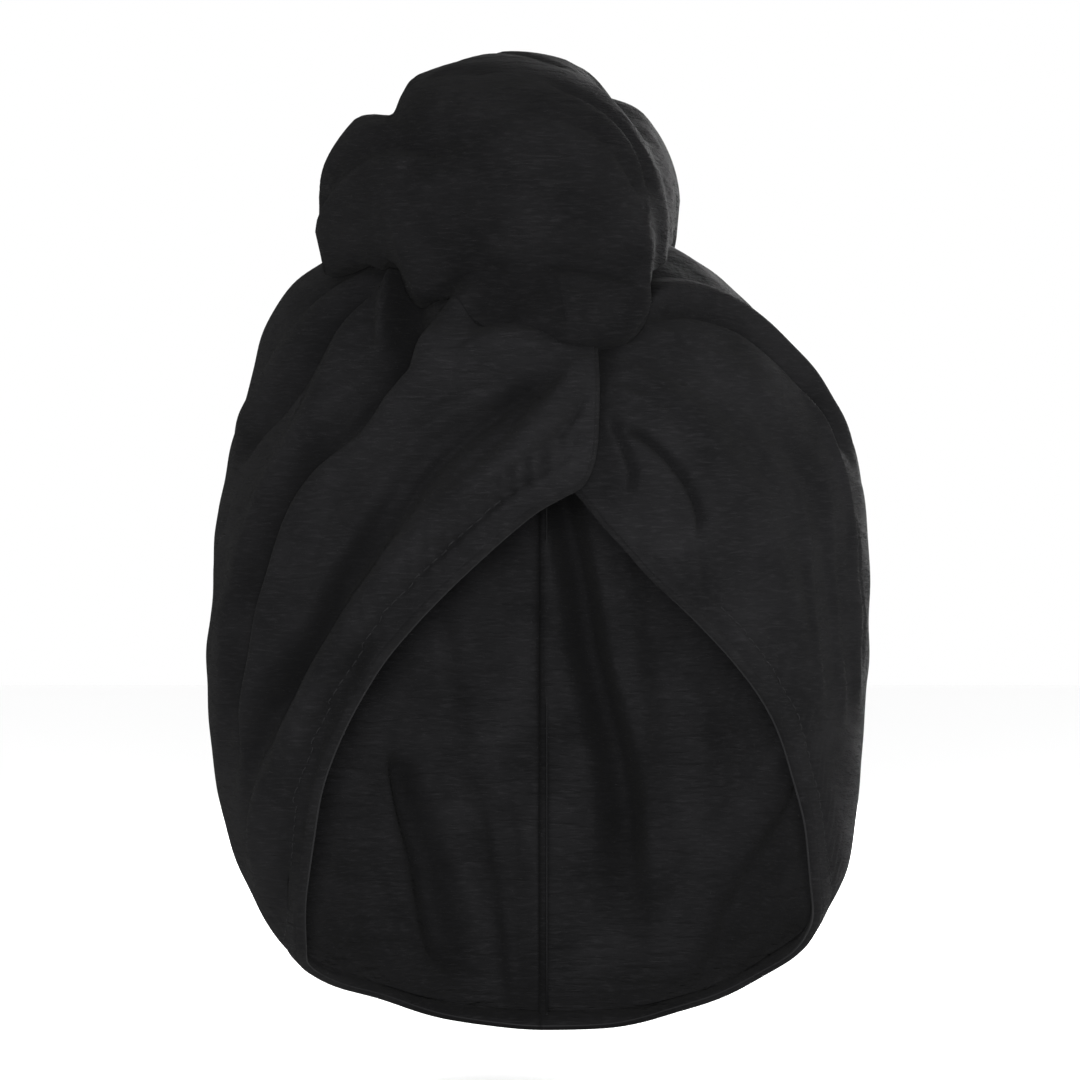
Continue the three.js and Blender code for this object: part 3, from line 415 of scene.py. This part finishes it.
def towelling(name, dark, light, pile, painted_shade_share):
    """Deep black microfibre pile: faint sideways slubs, soft mottling, small wrinkles, and painted shade that
    darkens the colour in creases and hollows.
    """
    material = bpy.data.materials.new(name)
    material.use_nodes = True
    nodes, links = material.node_tree.nodes, material.node_tree.links
    surface = nodes["Principled BSDF"]
    surface.inputs["Roughness"].default_value = 0.94
    surface.inputs["Specular IOR Level"].default_value = 0.01
    surface.inputs["Sheen Weight"].default_value = 0.004
    surface.inputs["Sheen Roughness"].default_value = 0.6
    place = nodes.new("ShaderNodeTexCoord")

    def noise(scale, stretch, detail):
        spread = nodes.new("ShaderNodeMapping")
        spread.inputs["Scale"].default_value = stretch
        links.new(place.outputs["Object"], spread.inputs["Vector"])
        texture = nodes.new("ShaderNodeTexNoise")
        texture.inputs["Scale"].default_value = scale
        texture.inputs["Detail"].default_value = detail
        links.new(spread.outputs["Vector"], texture.inputs["Vector"])
        return texture.outputs["Fac"]

    def window(value, low, high):
        part = nodes.new("ShaderNodeMapRange")
        part.inputs["From Min"].default_value = low
        part.inputs["From Max"].default_value = high
        links.new(value, part.inputs["Value"])
        return part.outputs["Result"]

    def blend(kind, a, b):
        part = nodes.new("ShaderNodeMath")
        part.operation = kind
        for socket, value in zip(part.inputs, (a, b)):
            if isinstance(value, float):
                socket.default_value = value
            else:
                links.new(value, socket)
        return part.outputs["Value"]

    slubs = window(noise(1.0, (260, 260, 1700), 3.0), 0.5, 0.78)
    mottle = window(noise(46.0, (1, 1, 1), 3.0), 0.3, 0.7)
    fluff = noise(1500.0, (1, 1, 1), 2.0)
    wrinkles = window(noise(1.0, (55, 55, 330), 4.0), 0.42, 0.68)
    tone = blend("ADD", blend("MULTIPLY", slubs, 0.5), blend("MULTIPLY", mottle, 0.35))
    dyed = nodes.new("ShaderNodeMix")
    dyed.data_type = "RGBA"
    dyed.inputs["A"].default_value = (*dark, 1)
    dyed.inputs["B"].default_value = (*light, 1)
    links.new(tone, dyed.inputs["Factor"])
    # painted shade: ambient occlusion darkens the colour in creases, hollows and corners, where shade falls
    hollow = nodes.new("ShaderNodeAmbientOcclusion")
    hollow.samples = 6
    hollow.inputs["Distance"].default_value = 0.022
    shade_painted_colour = nodes.new("ShaderNodeMix")
    shade_painted_colour.data_type = "RGBA"
    shade_painted_colour.inputs["A"].default_value = (*(painted_shade_share * part for part in dark), 1)
    links.new(window(hollow.outputs["AO"], 0.45, 0.97), shade_painted_colour.inputs["Factor"])
    links.new(dyed.outputs["Result"], shade_painted_colour.inputs["B"])
    links.new(shade_painted_colour.outputs["Result"], surface.inputs["Base Color"])
    relief = blend("ADD", blend("MULTIPLY", fluff, 0.55), blend("MULTIPLY", slubs, 0.6))
    relief = blend("ADD", relief, blend("MULTIPLY", wrinkles, 2.6))
    bump = nodes.new("ShaderNodeBump")
    bump.inputs["Strength"].default_value = 0.8
    bump.inputs["Distance"].default_value = pile
    links.new(relief, bump.inputs["Height"])
    links.new(bump.outputs["Normal"], surface.inputs["Normal"])
    return material


black_towelling = towelling(
    "black_towelling", dark=(0.0019, 0.0019, 0.00203), light=(0.0058, 0.0057, 0.0061),
    pile=0.0004, painted_shade_share=0.55)
# a lighter copy of the same cloth for the inside faces, painted light on the hood's interior
inside_painted_light_towelling = towelling(
    "inside_painted_light_towelling", dark=(0.0026, 0.0026, 0.00275), light=(0.0075, 0.0074, 0.0079),
    pile=0.0004, painted_shade_share=0.62)
left_edge = edge_line(LEFT_EDGE, PANEL_COLUMNS, 1)
left_panel, left_stitch_line, left_stitch_up = cloth_panel("left_panel_cloth", left_edge, LEFT_LAY, 0)
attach(left_panel, "root")
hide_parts("hood_left_panel")

# The right panel is the mirror cut of the same towelling. It passes under the left one at the forehead,
# where a stitch through both holds the cross, and lies smoother over the side of the head.
RIGHT_EDGE = [(4.5, 14.6), (8, 11), (12.5, 6), (19, -0.8), (29.5, -9), (40, -17.5), (50, -27.3), (58, -36.5),
              (67, -45.6), (82, -51.6), (102, -58.8), (125, -66.4), (150, -68.2), (180, -67.8)]
RIGHT_LAY = [(0, 8.2, 33, 47), (0.1, 22, 37, 53), (0.2, 38, 38, 60), (0.32, 56, 34, 67), (0.45, 75, 26, 73),
             (0.6, 100, 18, 79), (0.8, 139, 14, 85), (1, 180, 14, 90)]
right_edge = edge_line(RIGHT_EDGE, PANEL_COLUMNS, -1)
right_panel, right_stitch_line, right_stitch_up = cloth_panel("right_panel_cloth", right_edge, RIGHT_LAY, 1)
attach(right_panel, "root")
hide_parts("hood_right_panel")

# The hems are the panels' own front and nape edges, turned in once over the inside and stitched down, so
# they show on the inside as a band and on the outside only as a firm, slightly lighter edge. An overlocked
# thread closes the edge, and a row of stitches runs over the outside.
HEM_SECTION = np.array([  # inwards from the edge, and outwards
    (0.0014, 0.0021), (0.0002, 0.0019), (-0.0007, 0.001), (-0.0009, 0), (-0.0007, -0.001), (0.0002, -0.002),
    (0.0022, -0.0025), (0.0052, -0.0026), (0.0076, -0.0023), (0.0086, -0.0015), (0.0076, -0.0009),
    (0.003, -0.0005)])
HEM_PRESSED = 0.78
HEM_LAP_ENDS = (0.036, 0.06)
HEM_LAP_LESS = 0.45
OVERLOCK_RADIUS = 0.0005
OVERLOCK_LESS_ON_LAP = 0.00032
OVERLOCK_LESS_AT_NAPE = 0.0002
OVERLOCK_THINS = (0.19, 0.24)
OVERLOCK_OUT = 0.0006
OVERLOCK_UNDER = 0.0004
STITCHES_BEGIN = 0.068
STITCHES_STOP_SHORT = 0.002
STITCH_LENGTH = 0.0026
STITCH_GAP = 0.0011
STITCH_RADIUS = 0.00017


def tube_mesh(name, tubes):
    """Closed tubes, each through its own rings of points with both ends filled, as one mesh."""
    count, n, m = tubes.shape[:3]
    index = np.arange(count * n * m).reshape(count, n, m)
    turned = np.roll(index, -1, axis=2)
    sides = np.stack([index[:, :-1], turned[:, :-1], turned[:, 1:], index[:, 1:]], axis=-1).reshape(-1, 4)
    middles = tubes[:, [0, -1]].mean(axis=2).reshape(-1, 3)
    tip = count * n * m + np.arange(2 * count).reshape(count, 2, 1) + np.zeros((1, 1, m), int)
    first = np.stack([turned[:, 0], index[:, 0], tip[:, 0]], axis=-1).reshape(-1, 3)
    last = np.stack([index[:, -1], turned[:, -1], tip[:, 1]], axis=-1).reshape(-1, 3)
    return mesh_piece(name, np.concatenate([tubes.reshape(-1, 3), middles]), [sides, first, last])


def cord_rings(points, normal, radius, sides=6):
    """Rings round a line of points for a thin cord; radius is one value or one for each point."""
    run = unit(np.gradient(points, axis=0))
    aside = unit(np.cross(run, normal))
    turn = np.linspace(0, 2 * np.pi, sides, endpoint=False)[None, :, None]
    ring = np.cos(turn) * aside[:, None] + np.sin(turn) * np.cross(aside, run)[:, None]
    return points[:, None] + (radius + np.zeros(len(points)))[:, None, None] * ring


def stitch_row(name, line, up):
    """A row of short stitches along a line, each sunk at both ends."""
    reach = reach_along(line)
    arch = STITCH_RADIUS * (1.6 * np.sin(np.linspace(0, np.pi, 6)) - 0.5)
    stitches = []
    for start in np.arange(STITCHES_BEGIN, reach[-1] - STITCHES_STOP_SHORT, STITCH_LENGTH + STITCH_GAP):
        at = start + STITCH_LENGTH * np.linspace(0, 1, 6)
        normal = unit(looked_up(at, reach, up))
        points = looked_up(at, reach, line) + normal * arch[:, None]
        stitches.append(cord_rings(points, normal, STITCH_RADIUS))
    return tube_mesh(name, np.array(stitches))


black_thread = bpy.data.materials.new("black_thread")
black_thread.use_nodes = True
thread_nodes, thread_links = black_thread.node_tree.nodes, black_thread.node_tree.links
thread_surface = thread_nodes["Principled BSDF"]
thread_surface.inputs["Roughness"].default_value = 0.7
thread_surface.inputs["Specular IOR Level"].default_value = 0.05
thread_grain = thread_nodes.new("ShaderNodeTexNoise")
thread_grain.inputs["Scale"].default_value = 900
thread_tone = thread_nodes.new("ShaderNodeMix")
thread_tone.data_type = "RGBA"
thread_tone.inputs["A"].default_value = (0.0022, 0.0022, 0.0024, 1)
thread_tone.inputs["B"].default_value = (0.0055, 0.0055, 0.0058, 1)
thread_links.new(thread_grain.outputs["Fac"], thread_tone.inputs["Factor"])
thread_links.new(thread_tone.outputs["Result"], thread_surface.inputs["Base Color"])

# the hems take a slightly darker copy of the same towelling: painted shade that tones down their lit edges
hem_painted_shade_cloth = towelling(
    "hem_painted_shade_towelling", dark=(0.0017, 0.0017, 0.0018), light=(0.0054, 0.0053, 0.0056),
    pile=0.0003, painted_shade_share=0.6)
for side, edge, lapped, line, up in (
    ("left", left_edge, 0, left_stitch_line, left_stitch_up),
    ("right", right_edge, 1, right_stitch_line, right_stitch_up),
):
    base, inward, normal = sunk_edge(edge, lapped), edge["inward"], edge["normal"]
    along = np.linspace(0, edge["length"], PANEL_COLUMNS)
    on_lap = 1 - ease(*HEM_LAP_ENDS, along)
    inwards, outwards = HEM_SECTION[None, :, 0], HEM_SECTION[None, :, 1]
    lift = HEM_PRESSED * outwards * (1 - HEM_LAP_LESS * on_lap[:, None] * (outwards > 0))
    rings = base[:, None] + inwards[..., None] * inward[:, None] + lift[..., None] * normal[:, None]
    hem = tube_mesh(f"{side}_hem_band", rings[None])
    hem.data.materials.append(hem_painted_shade_cloth)
    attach(hem, "root")
    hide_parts(f"{side}_edge_hem")
    thread_line = base - OVERLOCK_OUT * inward - OVERLOCK_UNDER * normal
    at_nape = ease(*OVERLOCK_THINS, along)
    thread_radius = OVERLOCK_RADIUS - OVERLOCK_LESS_ON_LAP * on_lap - OVERLOCK_LESS_AT_NAPE * at_nape
    overlock = tube_mesh(f"{side}_overlocked_edge", cord_rings(thread_line, normal, thread_radius, 8)[None])
    overlock.data.materials.append(black_thread)
    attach(overlock, "root")
    stitches = stitch_row(f"{side}_hem_stitches", line, up)
    stitches.data.materials.append(black_thread)
    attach(stitches, "root")

# The tail is the long front end of both panels, twisted into a soft roll. It starts in the pinched knot
# over the forehead, widens into a full turn above it, and lies back over the crown down to the nape.
TAIL_HALF_WIDTH = 0.056
TAIL_FULL_HEIGHT = 0.05
# turn over the hood, sideways lean, half width, height (shares of the full ones), how round, belly's level
TAIL_SECTIONS = np.array([
    (34.5, 0.07, 0.14, 0.1, 0.9, 0.14), (36, 0.06, 0.34, 0.2, 1.3, 0.06),
    (38.5, 0.045, 0.46, 0.25, 1.3, 0.06), (41.5, 0.03, 0.52, 0.27, 1.25, 0.08),
    (43.7, 0.01, 0.56, 0.28, 1.1, 0.16), (45, -0.01, 0.6, 0.52, 0.8, 0.4),
    (46.5, -0.02, 0.64, 0.68, 0.8, 0.4), (50, -0.04, 0.7, 0.83, 0.84, 0.3),
    (54, -0.06, 0.8, 0.91, 0.84, 0.24), (58, -0.095, 0.88, 0.95, 0.88, 0.18),
    (63, -0.12, 0.955, 0.965, 0.96, 0.15), (70, -0.118, 0.955, 0.975, 1.04, 0.14),
    (76, -0.1, 0.91, 0.98, 1.05, 0.14), (84, -0.07, 0.875, 0.985, 1.05, 0.14),
    (97, -0.05, 0.865, 0.97, 1.03, 0.14), (113, -0.035, 0.82, 0.92, 0.98, 0.14),
    (130, -0.03, 0.74, 0.85, 0.95, 0.14), (148, -0.01, 0.66, 0.75, 0.92, 0.14),
    (166, 0, 0.55, 0.62, 0.9, 0.14), (184, 0, 0.43, 0.47, 0.88, 0.14),
    (198, 0, 0.34, 0.31, 0.85, 0.14), (207, 0, 0.29, 0.18, 0.8, 0.14),
    (216, 0, 0.27, 0.138, 0.75, 0.14), (222, 0, 0.2, 0.115, 0.75, 0.14),
])
# run over the tail (turn over the hood, place round the roll), half width in mm, depth in mm, sharpness
TAIL_GROOVES = [
    ([(57, 121), (66, 124), (74, 129), (83, 135), (94, 136), (104, 133), (120, 115), (138, 92), (156, 64),
      (174, 36)], 11, 8, 0.6),
    ([(67, 176), (64, 166), (61, 154), (57.5, 138), (53.5, 122), (51, 108)], 10, 5.5, 0.5),
    ([(62, 24), (71, 40), (84, 50), (100, 42), (118, 24), (134, 4)], 16, 5.2, 0.5),
    ([(52, 22), (55, 38), (58, 55), (60, 72)], 5, 2.6, 0.8),
    ([(49, 30), (51.5, 50), (53, 68), (53.5, 84)], 4, 2.2, 0.8),
    ([(46.8, 30), (47.8, 50), (48.4, 70), (48.4, 88)], 3.5, 1.6, 0.8),
    ([(50, 96), (52, 110), (53, 126)], 4, 1.4, 0.8),
    ([(62, 86), (65, 104), (66, 120)], 5, 1.4, 0.7),
    ([(70, 64), (76, 80), (80, 98)], 6, 1.6, 0.7),
    ([(96, 176), (114, 158), (134, 134), (154, 108), (174, 82), (194, 60)], 15, 8, 0.7),
    ([(142, 176), (160, 158), (178, 134), (196, 112)], 12, 6, 0.7),
    ([(100, 78), (118, 58), (136, 36), (150, 14)], 8, 2.6, 0.6),
    ([(66, 112), (80, 100), (96, 84)], 9, 1.6, 0.3),
]
GROOVE_STEPS = 30
RING_COUNT = 210
RING_POINTS = 150
TAIL_ARC_RADIUS_MM = 141
ROLL_RADIUS_MM = 50.4
OFF_THE_HOOD = 0.0002
LEAST_LEAN = 0.35
# the neck: how strong each of its features is, and the turns over the hood between which it ends
NECK_SINK, NECK_SINK_ENDS = 0.003, (34.5, 38)
NECK_GATHER, NECK_GATHER_ENDS = 0.0011, (37, 43)
LEFT_FLAT, LEFT_FLAT_ENDS = 0.97, (37, 50)
LEFT_MELTS, LEFT_MELT_ENDS = 1.5, (44, 50.5)
LEFT_LAG, LEFT_LAG_BEGINS, LEFT_LAG_ENDS = 2.5, (40, 43), (50, 62)
OVERHANG, OVERHANG_TURN, OVERHANG_SPREAD = 0.0045, 46, 1.6


def tail_value(column, turn):
    return smooth_rows(TAIL_SECTIONS[:, 0], TAIL_SECTIONS[:, column], turn)


t = np.linspace(0, 1, RING_COUNT)
first_turn, last_turn = TAIL_SECTIONS[0, 0], TAIL_SECTIONS[-1, 0]
turns = first_turn + (last_turn - first_turn) * (0.28 * t + 0.72 * t**1.45)
over_hood = np.radians(turns)
tail_way = unit(np.stack([tail_value(1, turns), -np.cos(over_hood), np.sin(over_hood)], axis=-1))
tail_base, tail_up = plain_hood(tail_way), square_off(tail_way)
tail_ahead = unit(np.cross(tail_up, [1.0, 0.0, 0.0]))
tail_across = unit(np.cross(tail_ahead, tail_up))
turn_grid, place_grid = np.meshgrid(turns, np.linspace(0, 360, RING_POINTS, endpoint=False), indexing="ij")

# the grooves between the strands, with the fine gathers where the knot pinches the neck
mm_per_degree = np.radians([TAIL_ARC_RADIUS_MM, ROLL_RADIUS_MM])
unrolled = np.stack([turn_grid, place_grid], axis=-1) * mm_per_degree
cut = np.zeros_like(turn_grid)
for run, half_width, depth, sharp in TAIL_GROOVES:
    corners = np.array(run, float) * mm_per_degree
    at = reach_along(corners)
    away, along = nearest_on(smooth_points(at, corners, np.linspace(0, at[-1], GROOVE_STEPS)), unrolled)
    across = np.clip(away / half_width, 0, 1)
    fade = ease(0, 0.12, along + 0.05) * ease(0, 0.2, 1.04 - along)
    cut += depth / 1000 * fade * (1 - across ** (2 - sharp)) ** 2
turned = np.radians(place_grid)
on_left = ease(-0.1, 0.7, -np.cos(turned))
lag = LEFT_LAG * on_left * ease(*LEFT_LAG_BEGINS, turn_grid) * (1 - ease(*LEFT_LAG_ENDS, turn_grid))
size = tail_value(3, turn_grid - lag)
pinches = 1 - np.abs(np.sin(np.radians(place_grid * 5.5 + 4 * turn_grid)))
cut = cut * size + NECK_GATHER * (1 - ease(*NECK_GATHER_ENDS, turn_grid)) * pinches

# each ring's outline in shares of its width and height: round above, flat below, thin where the neck's left
# side melts into the panel's ridge
roundness = tail_value(4, turn_grid)
aside = np.sign(np.cos(turned)) * np.abs(np.cos(turned)) ** roundness
melt = (1 - ease(*LEFT_MELT_ENDS, turn_grid)) * (aside < 0)
above = np.sign(np.sin(turned)) * np.abs(np.sin(turned)) ** (roundness + LEFT_MELTS * melt)
underneath = place_grid > 180
aside = np.where(underneath, place_grid / 90 - 3, aside)
above = np.where(underneath, -((1 - np.abs(aside) ** 5) ** 0.2), above)

# the rings laid on the folded cloth
sideways = (TAIL_HALF_WIDTH * tail_value(2, turn_grid) - cut * np.abs(aside)) * aside
spread = tail_base[:, None] + tail_across[:, None] * sideways[..., None]
rest = np.zeros_like(sideways)
for _ in range(4):
    way, over = foot(spread + tail_up[:, None] * rest[..., None])
    lean = np.maximum((tail_up[:, None] * square_off(way)).sum(-1), LEAST_LEAN)
    rest = rest + (folds_at(way) - over) / lean
height = TAIL_FULL_HEIGHT * size
under = rest + OFF_THE_HOOD
top = np.maximum(height - cut, under + 2 * CLOTH)
top = under + (top - under) * (1 - LEFT_FLAT * on_left * (1 - ease(*LEFT_FLAT_ENDS, turn_grid)))
belly = under + (top - under) * tail_value(5, turn_grid) * (1 - 0.9 * melt)
middle = np.maximum(height * 0.08 * (1 - melt), belly)
rise = np.where(above >= 0, middle + (top - middle) * above, middle + (middle - under) * above)
rise = rise - NECK_SINK * (1 - ease(*NECK_SINK_ENDS, turn_grid))
lip = np.exp(-(((turn_grid - OVERHANG_TURN) / OVERHANG_SPREAD) ** 2))
lip = lip * np.clip((rise - middle) / 0.02 + 0.5, 0, 1)
rings = spread + tail_up[:, None] * rise[..., None] - OVERHANG * lip[..., None] * tail_ahead[:, None]
tail = tube_mesh("tail_roll", rings[None])
# the tail takes a darker copy of the same towelling: painted shade over the whole roll
tail.data.materials.append(towelling(
    "tail_painted_shade_towelling", dark=(0.0014, 0.0014, 0.0015), light=(0.0048, 0.0047, 0.005),
    pile=0.0004, painted_shade_share=0.5))
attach(tail, "root")
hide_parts("twisted_tail")

# The seam that joins the two panels shows inside the hood as a narrow ridge of folded allowance, pressed
# to one side, with the thread drawn tight along it. It runs from the nape up the back and over the crown.
SEAM_SECTION = np.array([
    (0.0004, 0.0006), (-0.0024, 0.0006), (-0.0026, -0.0004), (-0.0022, -0.0009), (-0.0014, -0.0011),
    (-0.0005, -0.0009), (0.0002, -0.0004)])
# first and last latitude and the steps between them, up the back and then forwards over the crown
BACK_RUN = (-66.6, 89.8, 260)
CROWN_RUN = (89.6, 52, 60)
SEAM_THREAD_RADIUS = 0.0002
SEAM_THREAD_DEEP = 0.0011
SEAM_THREAD_ASIDE = 0.0022
up_the_back = toward(180, np.linspace(*BACK_RUN))
over_the_crown = toward(LAP_AZIMUTH, np.linspace(*CROWN_RUN))
seam_way = unit(np.concatenate([up_the_back, over_the_crown]))
seam_point = cloth_at(seam_way, -CLOTH)
seam_normal = square_off(seam_way)
seam_side = unit(np.cross(unit(np.gradient(seam_point, axis=0)), seam_normal))
aside, outwards = SEAM_SECTION[None, :, :1], SEAM_SECTION[None, :, 1:]
rings = seam_point[:, None] + aside * seam_side[:, None] + outwards * seam_normal[:, None]
seam = tube_mesh("back_seam_ridge", rings[None])
# the seam ridge shares the hems' darker copy of the towelling, painted shade
seam.data.materials.append(hem_painted_shade_cloth)
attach(seam, "root")
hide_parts("back_seam")

thread_line = seam_point - SEAM_THREAD_DEEP * seam_normal - SEAM_THREAD_ASIDE * seam_side
seam_stitch = tube_mesh("back_seam_thread", cord_rings(thread_line, seam_normal, SEAM_THREAD_RADIUS)[None])
seam_stitch.data.materials.append(black_thread)
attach(seam_stitch, "root")

# The button at the nape is a turned disc of black plastic on a short shank, sewn to the hood and passed
# through the hole at the tail's end, so the whole roll stays down. It keeps its own form from the frame.
button_plastic = bpy.data.materials.new("black_button_plastic")
button_plastic.use_nodes = True
button_nodes, button_links = button_plastic.node_tree.nodes, button_plastic.node_tree.links
button_surface = button_nodes["Principled BSDF"]
button_surface.inputs["Specular IOR Level"].default_value = 0.1
button_wear = button_nodes.new("ShaderNodeTexNoise")
button_wear.inputs["Scale"].default_value = 420
button_gloss = button_nodes.new("ShaderNodeMapRange")
button_gloss.inputs["To Min"].default_value = 0.34
button_gloss.inputs["To Max"].default_value = 0.52
button_links.new(button_wear.outputs["Fac"], button_gloss.inputs["Value"])
button_links.new(button_gloss.outputs["Result"], button_surface.inputs["Roughness"])
button_tone = button_nodes.new("ShaderNodeMix")
button_tone.data_type = "RGBA"
button_tone.inputs["A"].default_value = (0.004, 0.004, 0.0042, 1)
button_tone.inputs["B"].default_value = (0.007, 0.007, 0.0074, 1)
button_links.new(button_wear.outputs["Fac"], button_tone.inputs["Factor"])
button_links.new(button_tone.outputs["Result"], button_surface.inputs["Base Color"])
button = bpy.data.objects["nape_button"]
button.data.materials.clear()
button.data.materials.append(button_plastic)

# The wrap is photographed from the front with a long lens, on plain white, under wide soft light that is
# a little stronger from the right. A white floor far below it only catches a faint shade.
EYE = (0, -2.2, -0.0964)
LIT_PLACE = (0, 0, -0.1)
FLOOR_HALF = 6
FLOOR_LEVEL = -0.262
camera_data = bpy.data.cameras.new("camera")
camera_data.lens = 240
camera_data.sensor_width = 36
camera = bpy.data.objects.new("camera", camera_data)
camera.location = EYE
camera.rotation_euler = (math.radians(90), 0, 0)
bpy.context.scene.collection.objects.link(camera)
bpy.context.scene.camera = camera
bpy.context.scene.view_settings.view_transform = "Standard"

world = bpy.data.worlds.new("white_studio")
world.use_nodes = True
world.node_tree.nodes["Background"].inputs["Color"].default_value = (1, 1, 1, 1)
world.node_tree.nodes["Background"].inputs["Strength"].default_value = 1.0
bpy.context.scene.world = world


def soft_light(name, place, width, power):
    """A square light that looks at the middle of the wrap."""
    light = bpy.data.lights.new(name, "AREA")
    light.size = width
    light.energy = power
    lamp = bpy.data.objects.new(name, light)
    lamp.location = place
    x, y, z = np.array(LIT_PLACE) - np.array(place)
    lamp.rotation_euler = (math.atan2(math.hypot(x, y), -z), 0, math.atan2(x, -y) + math.pi)
    bpy.context.scene.collection.objects.link(lamp)


soft_light("back", (0.7, 2.1, 0.3), width=0.8, power=70)
soft_light("key", (1.6, -0.8, 0.35), width=0.6, power=36)
soft_light("fill", (-0.02, -2.3, -0.08), width=0.18, power=200)

floor_corners = [(-FLOOR_HALF, -FLOOR_HALF, FLOOR_LEVEL), (FLOOR_HALF, -FLOOR_HALF, FLOOR_LEVEL),
                 (FLOOR_HALF, FLOOR_HALF, FLOOR_LEVEL), (-FLOOR_HALF, FLOOR_HALF, FLOOR_LEVEL)]
floor_mesh = bpy.data.meshes.new("floor")
floor_mesh.from_pydata(floor_corners, [], [(0, 1, 2, 3)])
floor = bpy.data.objects.new("floor", floor_mesh)
bpy.context.scene.collection.objects.link(floor)
floor_paint = bpy.data.materials.new("white_floor")
floor_paint.use_nodes = True
floor_surface = floor_paint.node_tree.nodes["Principled BSDF"]
floor_surface.inputs["Base Color"].default_value = (0.96, 0.96, 0.96, 1)
floor_surface.inputs["Roughness"].default_value = 0.9
floor_mesh.materials.append(floor_paint)
